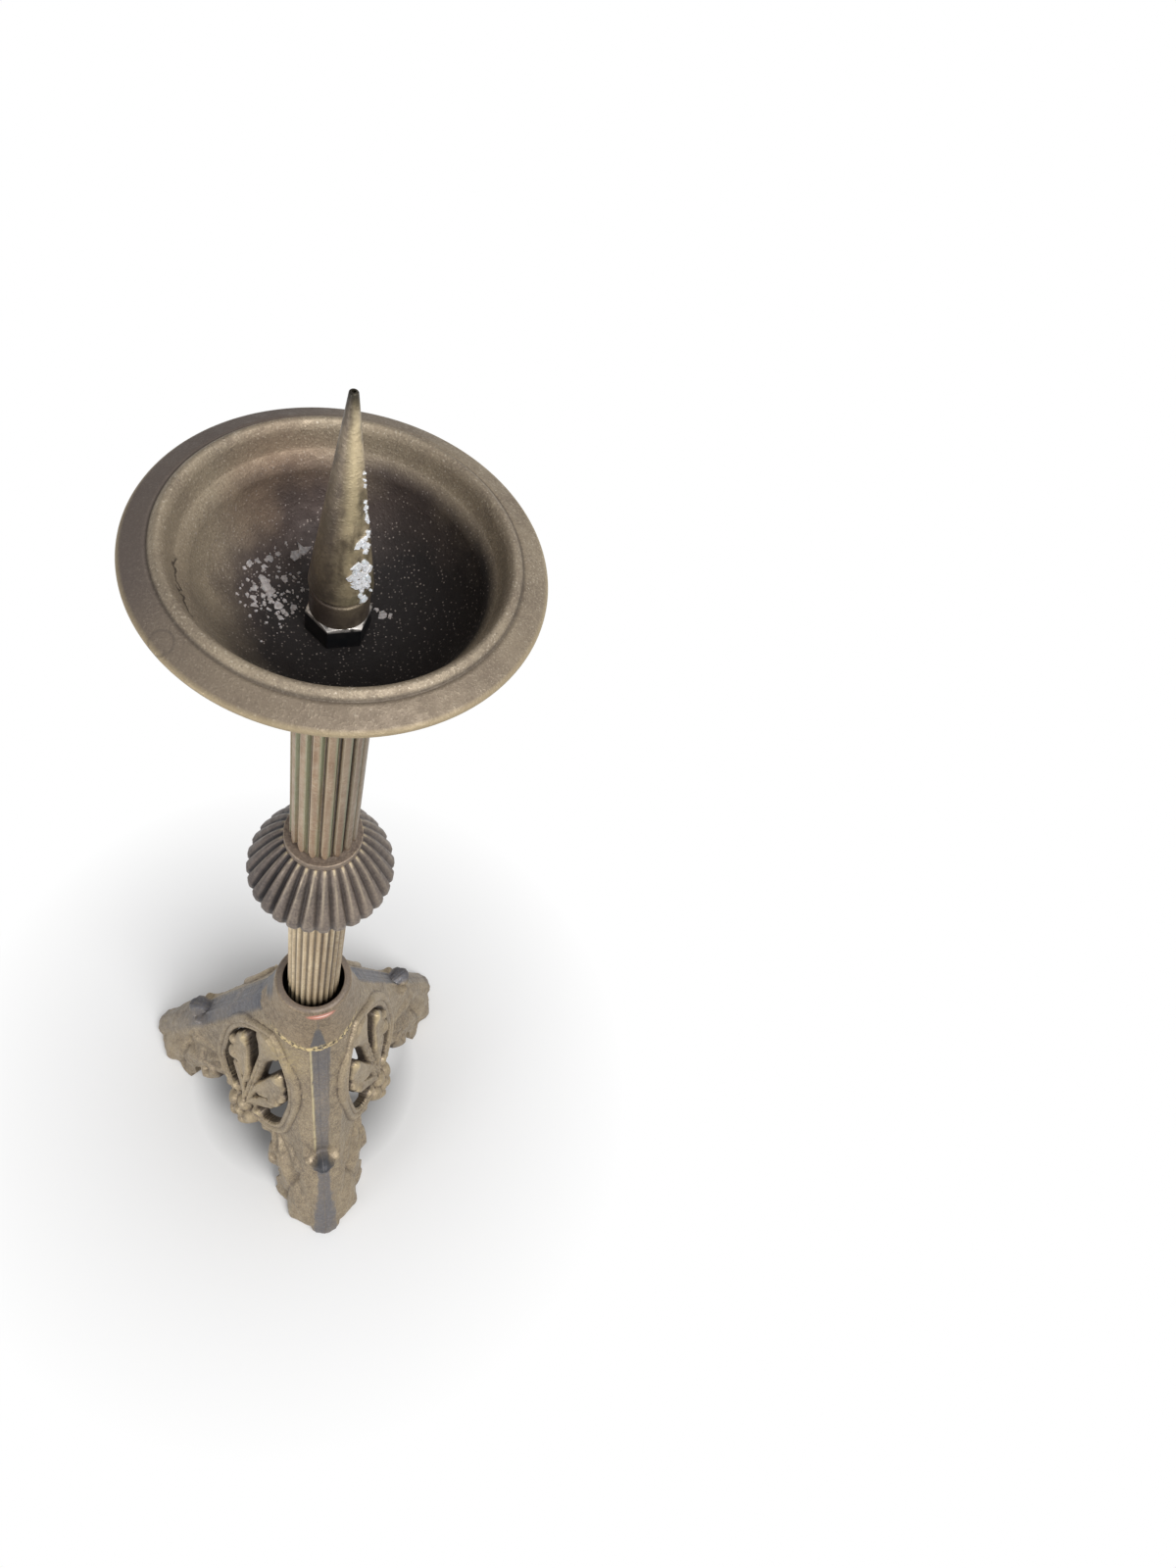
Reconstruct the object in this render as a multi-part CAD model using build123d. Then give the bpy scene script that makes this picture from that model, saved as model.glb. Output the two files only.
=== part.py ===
from build123d import *
import math
import os

# Pricket candle stand in brass, made up on one tie rod: a cast three-sided base, a round cap,
# two fluted tubes with a gadrooned knop between them, a drip pan and a screwed spike.
# Millimetres, +Z up. The floor is z = 0, the stem stands on the Z axis, one foot points to -Y.

# General sizes
slip = 0.15
overrun = 2.0
rod_radius = 5.0
thread_radius = 6.0

# Cast base: ridges run from the neck under the cap down to the three toes
side_count = 3
base_height = 178.0
neck_ridge_radius = 31.0
toe_ridge_radius = 116.0
neck_face_distance = 28.5
toe_face_distance = 63.0
neck_face_half_width = 10.0
ridge_band_width = 10.4
wall = 4.0
knuckle_height = 86.0
knuckle_radius = 9.0
knuckle_rise = 14.0
bud_side_count = 8
bud_taper = 16.0
toe_bulge = 11.0
toe_lobe_width = 8.6
toe_lobe_chamfer = 4.0
toe_undercut = 9.0

# Pointed frame on each side of the base, measured up the face from the floor
frame_half_width = 39.0
frame_spring_height = 90.0
frame_apex_height = 169.0
frame_outer_bead = 4.0
frame_inner_bead = 3.6
frame_outer_relief = 3.2
frame_inner_relief = 1.6

# Foliage in the frame: stem, side leaves, crowning trefoil and the boss at the foot
stem_leaf_width = 7.0
stem_leaf_relief = 3.4
leaf_relief = 2.6
trefoil_lobe_count = 3
trefoil_lobe_radius = 6.2
crown_drop = 30.0
boss_radius = 15.0
boss_height = 55.0
boss_relief = 6.0
boss_petal_count = 5
boss_petal_radius = 6.6
boss_button_radius = 8.0
boss_button_relief = 10.0
wing_relief = 2.4

# Round cap: a socket for the stem, seated on the neck of the base
cap_radius = 31.6
cap_height = 47.0
cap_lip_height = 2.5
cap_rim_radius = 21.4
cap_rim_height = 3.0
cap_hollow = 1.6
socket_radius = 18.3
cap_floor = 6.0

# Fluted tubes
lower_stem_length = 168.5
lower_stem_radius = 15.3
lower_rib_count = 24
lower_rib_depth = 1.1
upper_stem_length = 146.0
upper_stem_radius = 15.1
upper_rib_count = 16
upper_rib_depth = 1.7
stem_bore_radius = 12.6
rib_crest_share = 0.22

# Knop of two gadrooned shells between turned rings
knop_radius = 35.3
knop_half_height = 31.0
knop_rib_count = 28
knop_neck_radius = 18.4
knop_rib_depth = 2.1
knop_wall = 2.2
knop_hole_radius = 13.4
ring_radius = 17.8
ring_height = 4.5
spigot_length = 9.0
ring_edge_chamfer = 0.9

# Drip pan
pan_radius = 65.0
pan_wall = 2.6
rim_rise = 33.0
bead_foot_radius = 56.2
bead_foot_rise = 5.0
bead_crest_radius = 53.3
bead_crest_rise = 7.8
lip_radius = 51.2
lip_rise = 5.6
shoulder_radius = 49.4
shoulder_rise = -1.6
ledge_radius = 45.4
ledge_rise = -6.0
pan_flat_radius = 13.0
edge_half_thickness = 1.6

# Socket under the pan
pan_socket_radius = 20.0
pan_socket_height = 5.0
pan_socket_chamfer = 1.2

# Lock nut, spike, tie-rod nut and washer
nut_side_count = 6
nut_chamfer_angle = 30.0
lock_nut_flats = 19.0
lock_nut_height = 10.0
lock_nut_turn = 3.0
spike_foot_radius = 9.7
spike_foot_height = 10.0
spike_groove_radius = 9.0
spike_groove_height = 1.8
spike_radius = 10.4
spike_length = 76.0
spike_tip_radius = 1.3
spike_tip_hole_radius = 0.6
spike_tip_hole_depth = 2.0
rod_nut_flats = 17.0
rod_nut_height = 8.0
washer_radius = 12.0
washer_thickness = 2.5
rod_tail = 5.0

# Heights that stack up from the floor
cap_base = base_height
lower_stem_base = cap_base + cap_floor
lower_ring_base = lower_stem_base + lower_stem_length
knop_base = lower_ring_base + ring_height
knop_middle = knop_base + knop_half_height
knop_top = knop_middle + knop_half_height
upper_stem_base = knop_top + ring_height
pan_socket_base = upper_stem_base + upper_stem_length
pan_base = pan_socket_base + pan_socket_height
pan_floor = pan_base + pan_wall
rim_height = pan_floor + rim_rise
nut_top = pan_floor + lock_nut_height
spike_base = nut_top + spike_foot_height + spike_groove_height
washer_base = cap_base - washer_thickness
rod_nut_base = washer_base - rod_nut_height
rod_base = rod_nut_base - rod_tail
rod_top = pan_socket_base - spigot_length / 2
foot_turn = -90.0
full_turn = 360.0
quarter_turn = full_turn / 4
third = full_turn / side_count
base_room = 2 * (2 * toe_ridge_radius + base_height)


def polar(radius, angle, height=0.0):
    """A point at a radius and an angle in degrees round the stem."""
    turn = math.radians(angle)
    return Vector(radius * math.cos(turn), radius * math.sin(turn), height)


def tube(outer, inner, base, height):
    """A plain turned sleeve on the stem axis."""
    ring = Circle(outer) - Circle(inner)
    return Pos(0, 0, base) * extrude(ring, height)


def inside(point, outward, size):
    """The half space behind a plane, as a large block."""
    block = Box(size, size, size, align=(Align.CENTER, Align.CENTER, Align.MAX))
    return Plane(origin=point, z_dir=outward) * block


def plane_normal(a, b, c):
    """The unit normal of three points that points away from the stem axis."""
    normal = (b - a).cross(c - a).normalized()
    flat = Vector(normal.X, normal.Y, 0)
    if flat.dot(Vector(a.X, a.Y, 0)) < 0:
        normal = -normal
    return normal


def face_normal(angle):
    """The outward normal of a leaning side of the base."""
    lean = math.atan2(toe_face_distance - neck_face_distance, base_height)
    level = polar(math.cos(lean), angle)
    return Vector(level.X, level.Y, math.sin(lean))


def base_block(inset):
    """The base as one closed pyramid, with every wall moved inwards by the inset."""
    size = base_room
    block = Pos(0, 0, base_height / 2) * Box(size, size, base_height)
    half_band = math.degrees(math.atan2(ridge_band_width / 2, toe_ridge_radius))
    neck_band = math.degrees(math.atan2(ridge_band_width / 2, neck_ridge_radius))
    neck_face = math.degrees(math.atan2(neck_face_half_width, neck_face_distance))
    for number in range(side_count):
        foot = foot_turn + number * third
        low = polar(toe_ridge_radius, foot)
        high = polar(neck_ridge_radius, foot, base_height)
        level = polar(1, foot)
        run = high - low
        band = Vector(level.X * run.Z, level.Y * run.Z, toe_ridge_radius - neck_ridge_radius)
        band = band.normalized()
        block = block & inside(low - band * inset, band, size)
        side = foot + third / 2
        normal = face_normal(side)
        block = block & inside(polar(toe_face_distance, side) - normal * inset, normal, size)
        for hand in (-1, 1):
            edge_low = polar(toe_ridge_radius / math.cos(math.radians(half_band)), foot + hand * half_band)
            edge_high = polar(neck_ridge_radius, foot + hand * neck_band, base_height)
            face_high = polar(
                math.hypot(neck_face_distance, neck_face_half_width),
                foot + hand * (third / 2 - neck_face),
                base_height,
            )
            cheek = plane_normal(edge_low, edge_high, face_high)
            block = block & inside(edge_low - cheek * inset, cheek, size)
    return block


def lens(start, end, bulge_one, bulge_two):
    """A leaf outline between two points, with an arc on each hand."""
    a = Vector(*start)
    b = Vector(*end)
    middle = (a + b) / 2
    along = (b - a).normalized()
    across = Vector(-along.Y, along.X)
    one = ThreePointArc(a, middle + across * bulge_one, b)
    two = ThreePointArc(b, middle - across * bulge_two, a)
    return make_face([one, two])


def frame_outline(inset):
    """The pointed frame, round below and lancet above, drawn in by the inset."""
    half = frame_half_width - inset
    rise = frame_apex_height - frame_spring_height
    reach = (rise**2 - frame_half_width**2) / (2 * frame_half_width)
    radius = reach + half
    peak = frame_spring_height + math.sqrt(radius**2 - reach**2)
    middle_turn = math.acos(reach / radius) / 2
    shoulder = (radius * math.cos(middle_turn) - reach, frame_spring_height + radius * math.sin(middle_turn))
    right = ThreePointArc((half, frame_spring_height), shoulder, (0, peak))
    left = ThreePointArc((0, peak), (-shoulder[0], shoulder[1]), (-half, frame_spring_height))
    foot = ThreePointArc(
        (-half, frame_spring_height), (0, frame_spring_height - half), (half, frame_spring_height)
    )
    return make_face([right, left, foot])


# Lower edge of a side as shares of the frame's half width and of the frame's spring height
scallop_shares = ((1.60, 0.0), (1.42, 0.24), (1.06, 0.30), (0.70, 0.52), (0.36, 0.50))
scallop_bulge_shares = (0.05, 0.09, 0.09, 0.07)
# Pierced openings: start, end and the two bulges, as shares of the same two sizes
upper_opening_shares = ((0.17, 1.06), (0.30, 1.46), (-0.06, 0.26))
lower_opening_shares = ((0.16, 0.78), (0.70, 1.00), (0.10, 0.30))
side_leaf_shares = ((0.04, 0.86), (0.72, 1.20), (0.15, 0.12))
side_bud_shares = ((0.30, 1.02), (0.62, 1.28), (0.22, 0.02))
wing_leaf_shares = ((1.62, 0.03), (1.72, 0.66), (0.16, 0.10))


def on_face(shares):
    """A start and an end on the face, and two bulges, from their shares."""
    start, end, bulges = shares
    ends = [(p[0] * frame_half_width, p[1] * frame_spring_height) for p in (start, end)]
    return ends[0], ends[1], bulges[0] * frame_half_width, bulges[1] * frame_half_width


def mirrored(sketch):
    """A sketch and its reflection in the middle line of the face."""
    return sketch + mirror(sketch, about=Plane.YZ)


def under_edge():
    """What lies under the scalloped lower edge of a side, between its two wing tips."""
    points = [(u * frame_half_width, v * frame_spring_height) for u, v in scallop_shares]
    drop = -overrun
    right = [Line((points[0][0], drop), points[0])]
    for start, end, share in zip(points, points[1:], scallop_bulge_shares):
        a = Vector(*start)
        b = Vector(*end)
        along = (b - a).normalized()
        across = Vector(along.Y, -along.X)
        right.append(ThreePointArc(a, (a + b) / 2 + across * share * frame_half_width, b))
    right.append(Line(points[-1], (0, points[-1][1])))
    right.append(Line((0, points[-1][1]), (0, drop)))
    right.append(Line((0, drop), (points[0][0], drop)))
    return mirrored(make_face(right))


def relief(sketch, height):
    """A sketch on the face cast up from inside the wall to a height above it."""
    return Pos(0, 0, -wall) * extrude(sketch, wall + height)


def boss():
    """The leafy boss at the foot of the frame: petals round a domed button."""
    petals = Sketch() + Circle(boss_button_radius)
    for number in range(boss_petal_count):
        angle = foot_turn + number * full_turn / boss_petal_count
        spot = polar(boss_radius - boss_petal_radius, angle)
        petals += Pos(spot.X, spot.Y) * Circle(boss_petal_radius)
    rise = boss_button_relief - boss_relief
    dome_radius = (boss_button_radius**2 + rise**2) / (2 * rise)
    dome = Pos(0, 0, boss_button_relief - dome_radius) * Sphere(dome_radius)
    button = extrude(Circle(boss_button_radius), boss_button_relief) & dome
    return Pos(0, boss_height) * (relief(petals, boss_relief) + button)


def base_side(shell, number):
    """One cast side: a third of the shell, pierced and carrying its frame and foliage."""
    turn = foot_turn + number * third + third / 2
    size = base_room
    side = shell
    for hand in (-1, 1):
        outward = polar(1, turn + hand * (third / 2 + quarter_turn))
        side = side & inside(Vector(0, 0, 0), outward, size)
    across = polar(1, turn + quarter_turn)
    face = Plane(origin=polar(toe_face_distance, turn), x_dir=across, z_dir=face_normal(turn))
    frame_width = frame_outer_bead + frame_inner_bead
    through = 2 * toe_face_distance
    panel = frame_outline(frame_width)
    gaps = Sketch()
    for shares in (upper_opening_shares, lower_opening_shares):
        gaps += mirrored(lens(*on_face(shares)))
    gaps = gaps & panel
    leaves = lens((0, boss_height), (0, frame_apex_height - crown_drop), stem_leaf_width / 2, stem_leaf_width / 2)
    sprays = Sketch()
    for shares in (side_leaf_shares, side_bud_shares):
        sprays += mirrored(lens(*on_face(shares)))
    crown_height = frame_apex_height - crown_drop
    for number in range(trefoil_lobe_count):
        spot = polar(trefoil_lobe_radius, quarter_turn + number * full_turn / trefoil_lobe_count)
        sprays += Pos(spot.X, crown_height + spot.Y) * Circle(trefoil_lobe_radius)
    sprays = sprays & panel
    casting = relief(frame_outline(0) - frame_outline(frame_outer_bead), frame_outer_relief)
    casting += relief(frame_outline(frame_outer_bead) - panel, frame_inner_relief)
    casting += relief(leaves, stem_leaf_relief)
    casting += relief(sprays, leaf_relief)
    casting += relief(mirrored(lens(*on_face(wing_leaf_shares))), wing_relief)
    casting += boss()
    cuts = Pos(0, 0, -through) * extrude(under_edge(), 2 * through)
    holes = Pos(0, 0, -through / 2) * extrude(gaps - leaves - sprays, through)
    side = side - face * holes - face * cuts
    above = Pos(0, 0, base_height / 2) * Box(size, size, base_height)
    return side + (face * casting & above)


def toe_lobe(length, hand):
    """One half of a toe: a bowed slab along the ridge, rounded off on its free hand."""
    bow = ThreePointArc((0, 0), (toe_bulge, length / 2), (0, length))
    back = Polyline((0, length), (-wall, length / 2), (0, 0))
    slab = extrude(Plane.XZ * make_face([bow, back]), -hand * toe_lobe_width)
    crests = slab.edges().filter_by(GeomType.CIRCLE).sort_by(Axis.Y)
    return chamfer(crests[-1 if hand > 0 else 0], toe_lobe_chamfer)


def bud():
    """A crocket bud on a knuckle: an eight-sided knob that narrows outwards."""
    return extrude(RegularPolygon(knuckle_radius, bud_side_count), knuckle_rise, taper=bud_taper)


def base_shell():
    """The whole base as one hollow casting, with its knuckles and lobed toes."""
    shell = base_block(0) - base_block(wall)
    fall = (toe_ridge_radius - neck_ridge_radius) / base_height
    above = Pos(0, 0, base_height / 2) * Box(base_room, base_room, base_height)
    for number in range(side_count):
        foot = foot_turn + number * third
        low = polar(toe_ridge_radius + toe_undercut * fall, foot, -toe_undercut)
        high = polar(toe_ridge_radius - knuckle_height * fall, foot, knuckle_height)
        along = high - low
        outward = polar(1, foot) * along.Z + Vector(0, 0, fall * along.Z)
        outward = outward.normalized()
        shell += Plane(origin=high - outward * wall, z_dir=outward) * bud()
        for hand in (-1, 1):
            shell += Plane(origin=low, x_dir=outward, z_dir=along) * toe_lobe(along.length, hand) & above
    return shell


def base_cap():
    """The round cap: a cone that holds the foot of the stem in a blind socket."""
    top = cap_base + cap_height
    lip = cap_base + cap_lip_height
    rim = top - cap_rim_height
    start = Vector(cap_radius, lip)
    end = Vector(cap_rim_radius, rim)
    hollow = (start + end) / 2 - Vector(cap_hollow, 0)
    outline = [
        Line((rod_radius + slip, cap_base), (cap_radius, cap_base)),
        Line((cap_radius, cap_base), (cap_radius, lip)),
        ThreePointArc(start, hollow, end),
        Line((cap_rim_radius, rim), (cap_rim_radius, top)),
        Line((cap_rim_radius, top), (socket_radius, top)),
        Line((socket_radius, top), (socket_radius, lower_stem_base)),
        Line((socket_radius, lower_stem_base), (rod_radius + slip, lower_stem_base)),
        Line((rod_radius + slip, lower_stem_base), (rod_radius + slip, cap_base)),
    ]
    return revolve(Plane.XZ * make_face(outline), Axis.Z)


def rib_ring(radius, depth, count):
    """A closed ring of ribs round the stem axis, each with a flat crest between two slopes."""
    pitch = full_turn / count
    ring = []
    for number in range(count):
        middle = number * pitch
        ring.append(polar(radius - depth, middle - pitch / 2))
        ring.append(polar(radius, middle - rib_crest_share * pitch))
        ring.append(polar(radius, middle + rib_crest_share * pitch))
    return make_face(Polyline(ring, close=True))


def fluted_tube(radius, depth, count, base, length):
    """A drawn tube with rounded ribs that meet in narrow valleys, on the stem axis."""
    section = rib_ring(radius, depth, count) - Circle(stem_bore_radius)
    return Pos(0, 0, base) * extrude(section, length)


# Levels of the knop from its middle to its ring, as shares of the half height and of the swell
knop_level_shares = ((0.0, 1.0), (0.14, 0.96), (0.52, 0.58), (1.0, 0.0))


def knop_shell(hand):
    """One gadrooned half of the knop, hollow, with a flat seat for its ring."""
    levels = []
    for rise, swell in knop_level_shares:
        radius = knop_neck_radius + swell * (knop_radius - knop_neck_radius)
        depth = knop_rib_depth * radius / knop_radius
        levels.append(Pos(0, 0, rise * knop_half_height) * rib_ring(radius, depth, knop_rib_count))
    body = loft(levels, ruled=True)
    skin = knop_rib_depth + knop_wall
    inner = [(0, 0), (knop_radius - skin, 0), (knop_neck_radius - knop_wall, knop_half_height - skin)]
    inner.append((0, knop_half_height - skin))
    hollow = revolve(Plane.XZ * make_face(Polyline(inner, close=True)), Axis.Z)
    seat = extrude(Circle(knop_hole_radius), knop_half_height + overrun)
    body = body - hollow - seat
    if hand < 0:
        body = mirror(body, about=Plane.XY)
    return Pos(0, 0, knop_middle) * body


def knop_ring(base, hand):
    """A turned ring with one spigot in the tube and one in the knop."""
    ring = tube(ring_radius, rod_radius + slip, base, ring_height)
    ring = chamfer(ring.edges().filter_by(GeomType.CIRCLE).group_by(SortBy.RADIUS)[-1], ring_edge_chamfer)
    tube_side = base + ring_height if hand > 0 else base - spigot_length
    knop_side = base - spigot_length / 2 if hand > 0 else base + ring_height
    ring += tube(stem_bore_radius - slip, rod_radius + slip, tube_side, spigot_length)
    ring += tube(knop_hole_radius - slip, rod_radius + slip, knop_side, spigot_length / 2)
    return ring


def drip_pan():
    """A spun bowl with a beaded lip and a sloping flange with a rolled edge."""
    lower = pan_floor - pan_wall
    drop = pan_floor - rim_height
    flat = Vector(pan_flat_radius, drop)
    ledge = Vector(ledge_radius, ledge_rise)
    run = ledge_radius - pan_flat_radius
    rise = ledge_rise - drop
    bowl_radius = (run**2 + rise**2) / (2 * rise)
    center = Vector(pan_flat_radius, drop + bowl_radius)
    sweep_angle = math.atan2(ledge.Y - center.Y, ledge.X - center.X)
    middle = (sweep_angle - math.pi / 2) / 2
    turn = Vector(math.cos(middle), math.sin(middle))
    outer_ledge = center + Vector(math.cos(sweep_angle), math.sin(sweep_angle)) * (bowl_radius + pan_wall)
    edge_top = Vector(pan_radius - edge_half_thickness, edge_half_thickness)
    edge_low = Vector(pan_radius - edge_half_thickness, -edge_half_thickness)
    flange_under = Vector(bead_foot_radius, bead_foot_rise - pan_wall - slip)
    wall_under = Vector(shoulder_radius + pan_wall, shoulder_rise)
    hole = thread_radius + slip
    outline = [
        Line((hole, drop), flat),
        ThreePointArc(flat, center + turn * bowl_radius, ledge),
        Line(ledge, (shoulder_radius, shoulder_rise)),
        Line((shoulder_radius, shoulder_rise), (lip_radius, lip_rise)),
        ThreePointArc((lip_radius, lip_rise), (bead_crest_radius, bead_crest_rise), (bead_foot_radius, bead_foot_rise)),
        Line((bead_foot_radius, bead_foot_rise), edge_top),
        ThreePointArc(edge_top, (pan_radius, 0), edge_low),
        Line(edge_low, flange_under),
        Line(flange_under, wall_under),
        Line(wall_under, outer_ledge),
        ThreePointArc(outer_ledge, center + turn * (bowl_radius + pan_wall), (pan_flat_radius, drop - pan_wall)),
        Line((pan_flat_radius, drop - pan_wall), (hole, drop - pan_wall)),
        Line((hole, drop - pan_wall), (hole, drop)),
    ]
    return Pos(0, 0, rim_height) * revolve(Plane.XZ * make_face(outline), Axis.Z)


def pan_socket():
    """The turned socket that closes the upper tube and carries the pan."""
    disc = tube(pan_socket_radius, thread_radius + slip, pan_socket_base, pan_socket_height)
    disc = chamfer(disc.edges().filter_by(GeomType.CIRCLE).group_by(SortBy.RADIUS)[-1], pan_socket_chamfer)
    spigot = tube(stem_bore_radius - slip, rod_radius + slip, pan_socket_base - spigot_length, spigot_length)
    return disc + spigot


def hex_nut(flats, height, bore, base, turn):
    """A hexagon nut with both ends chamfered."""
    prism = extrude(RegularPolygon(flats / 2, nut_side_count, major_radius=False, rotation=turn), height)
    corner = flats / math.sqrt(3)
    cut = corner - flats / 2
    drop = cut * math.tan(math.radians(nut_chamfer_angle))
    outline = [
        (0, 0),
        (flats / 2, 0),
        (corner, drop),
        (corner, height - drop),
        (flats / 2, height),
        (0, height),
    ]
    turned = revolve(Plane.XZ * make_face(Polyline(outline, close=True)), Axis.Z)
    return Pos(0, 0, base) * ((prism & turned) - extrude(Circle(bore), height))


def pricket_spike():
    """The turned spike: a cone on a grooved foot, with a screwed shank below."""
    shank_base = pan_socket_base + slip
    tip = spike_base + spike_length
    groove = nut_top + spike_foot_height
    outline = [
        (0, shank_base),
        (thread_radius, shank_base),
        (thread_radius, nut_top),
        (spike_foot_radius, nut_top),
        (spike_foot_radius, groove),
        (spike_groove_radius, groove),
        (spike_groove_radius, spike_base),
        (spike_radius, spike_base),
        (spike_tip_radius, tip),
        (spike_tip_hole_radius, tip),
        (spike_tip_hole_radius, tip - spike_tip_hole_depth),
        (0, tip - spike_tip_hole_depth),
    ]
    return revolve(Plane.XZ * make_face(Polyline(outline, close=True)), Axis.Z)


def tie_rod():
    """The rod that draws the whole stand together."""
    return Pos(0, 0, rod_base) * extrude(Circle(rod_radius), rod_top - rod_base)


shell = base_shell()
nodes = {
    "pricket_spike": pricket_spike(),
    "lock_nut": hex_nut(lock_nut_flats, lock_nut_height, thread_radius + slip, pan_floor, lock_nut_turn),
    "drip_pan": drip_pan(),
    "pan_socket": pan_socket(),
    "upper_stem": fluted_tube(
        upper_stem_radius, upper_rib_depth, upper_rib_count, upper_stem_base, upper_stem_length
    ),
    "knop_top_ring": knop_ring(knop_top, 1),
    "knop_upper_shell": knop_shell(1),
    "knop_lower_shell": knop_shell(-1),
    "knop_bottom_ring": knop_ring(lower_ring_base, -1),
    "lower_stem": fluted_tube(
        lower_stem_radius, lower_rib_depth, lower_rib_count, lower_stem_base, lower_stem_length
    ),
    "base_cap": base_cap(),
    "tie_rod": tie_rod(),
    "rod_washer": tube(washer_radius, rod_radius + slip, washer_base, washer_thickness),
    "rod_nut": hex_nut(rod_nut_flats, rod_nut_height, rod_radius + slip, rod_nut_base, 0),
}
for number in range(side_count):
    nodes[f"base_side_{number + 1}"] = base_side(shell, number)

os.makedirs("parts", exist_ok=True)
for name, solid in nodes.items():
    export_step(solid, f"parts/{name}.step")
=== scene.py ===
import math
import random
import bmesh
import bpy
from types import SimpleNamespace
from mathutils import Matrix, Vector, noise


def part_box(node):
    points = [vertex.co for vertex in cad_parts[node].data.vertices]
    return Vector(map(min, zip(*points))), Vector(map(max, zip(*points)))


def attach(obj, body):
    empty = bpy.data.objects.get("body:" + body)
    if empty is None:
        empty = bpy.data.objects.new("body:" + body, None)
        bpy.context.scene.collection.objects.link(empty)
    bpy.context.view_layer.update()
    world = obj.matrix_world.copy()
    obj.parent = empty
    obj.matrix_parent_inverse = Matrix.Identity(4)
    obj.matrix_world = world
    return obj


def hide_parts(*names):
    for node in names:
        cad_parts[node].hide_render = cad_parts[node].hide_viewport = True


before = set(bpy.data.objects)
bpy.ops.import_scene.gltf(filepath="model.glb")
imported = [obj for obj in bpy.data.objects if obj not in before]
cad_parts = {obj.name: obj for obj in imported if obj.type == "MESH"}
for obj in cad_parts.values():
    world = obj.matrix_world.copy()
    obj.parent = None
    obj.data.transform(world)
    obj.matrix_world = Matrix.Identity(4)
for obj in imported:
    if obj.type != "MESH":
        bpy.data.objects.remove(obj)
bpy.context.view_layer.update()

# Base sides
# Three brass castings lean together as a hollow pyramid and meet on the ridges, each with half of two toes.
# The arched frame, the leaves and the boss are cast proud, and the ground between the leaves is pierced.
mm = 0.001


def scaled(size):
    return tuple(map(scaled, size)) if isinstance(size, tuple) else size * mm


def in_mm(**parts):
    return SimpleNamespace(**{name: scaled(size) for name, size in parts.items()})


base_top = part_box("base_cap")[0].z
wall = in_mm(
    toe_ridge=116, neck_ridge=31, toe_distance=63, neck_distance=28.5, toe_half_width=97, neck_half_width=10,
    band=5.2, thickness=4.6
)
ridge_turn = math.radians(60)
face_slope = math.hypot(1, (wall.toe_distance - wall.neck_distance) / base_top)
side_rows = 190
face_columns = 80
cheek_columns = 14
band_columns = 8
half_columns = face_columns + cheek_columns + band_columns

arch = in_mm(half_width=40, waist=90, spring=111, apex=175, overlap=1, inset=8, drop=1.2)
arch_rise = arch.apex - arch.spring
arch_reach = (arch_rise ** 2 - arch.half_width ** 2) / (2 * arch.half_width)
outer_bead = in_mm(centre=1.8, half=2.6, relief=2.9)
inner_bead = in_mm(centre=6, half=2.4, relief=2.3)
skin = in_mm(relief=0.45, pitch=3)

stalk = in_mm(spine=((0, 48, 5), (0, 142, 4)), relief=5, crown=6, groove=1.1, pitch=10)
side_leaf = in_mm(
    spine=((4.5, 92, 4.2), (10.5, 104, 6.4), (16.5, 117, 8.2), (19, 130, 7.2), (18.5, 141.5, 3.2)),
    buds=((21.5, 109, 6.2), (25.5, 121, 4.6)), root=(5, 86), rise=7.4, lift=2.2
)
crown_leaf = in_mm(
    spine=((0, 138, 4.4), (0, 147, 7.6), (0, 157, 12), (0, 165, 11)), buds=(), root=(0, 128), rise=5, lift=0
)
twig = in_mm(
    spine=((2.5, 64, 3.4), (9.5, 77, 4.2), (17.5, 91, 5)), buds=((13, 63, 5.4),), root=(2, 58), rise=5.6, lift=0
)
side_leaf.folds, crown_leaf.folds, twig.folds = 9, 8, 7
leaves = (side_leaf, crown_leaf, twig)
blade = in_mm(edge=6.4, tip=(128, 142), tip_place=(18.5, 139), tip_spread=5, melt=2.6, climb=5)
boss = in_mm(height=47, ring=9.2, petal=7.2, petal_relief=7.6, button=6, button_relief=10)
boss_petals = 5

hem = in_mm(height=47, clearance=0.3)
lobes = in_mm(place=(40.5, 39), radius=10, dome=2.4, pit=2.6, pit_spread=2.4)
wings = in_mm(tip=53, root=(46, 60), wave=1.5)
curl = in_mm(rise=4, depth=11, start=(30, 42))
ruffle = in_mm(relief=1.1, pitch=17, height=34, start=(14, 26), drift=3, drift_pitch=16)
notch = in_mm(height=2.4, end=84, blend=6)
notch_start = wings.tip + 4 * mm
first_tooth = wings.tip + 7 * mm

knuckle = in_mm(height=75, radius=5.8, relief=8.5, dirt=(4.6, 6.6), unworn=(15, 19))
knuckle_ear = in_mm(place=8.5, rise=2.4, spread=3.6)
knuckle_collar = in_mm(rise=1.6, half=3, end=13, blend=3)
knuckle_dip = in_mm(above=8, depth=1.6, height=3, width=6)
seam_line = in_mm(depth=0.4, half=0.5, arris=0.9)
rub_line = wall.band - 0.7 * mm
rub_start = (knuckle.height + 6 * mm, knuckle.height + 12 * mm)
casting_marks = ("relief", "knob", "rubbed", "proud")

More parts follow.
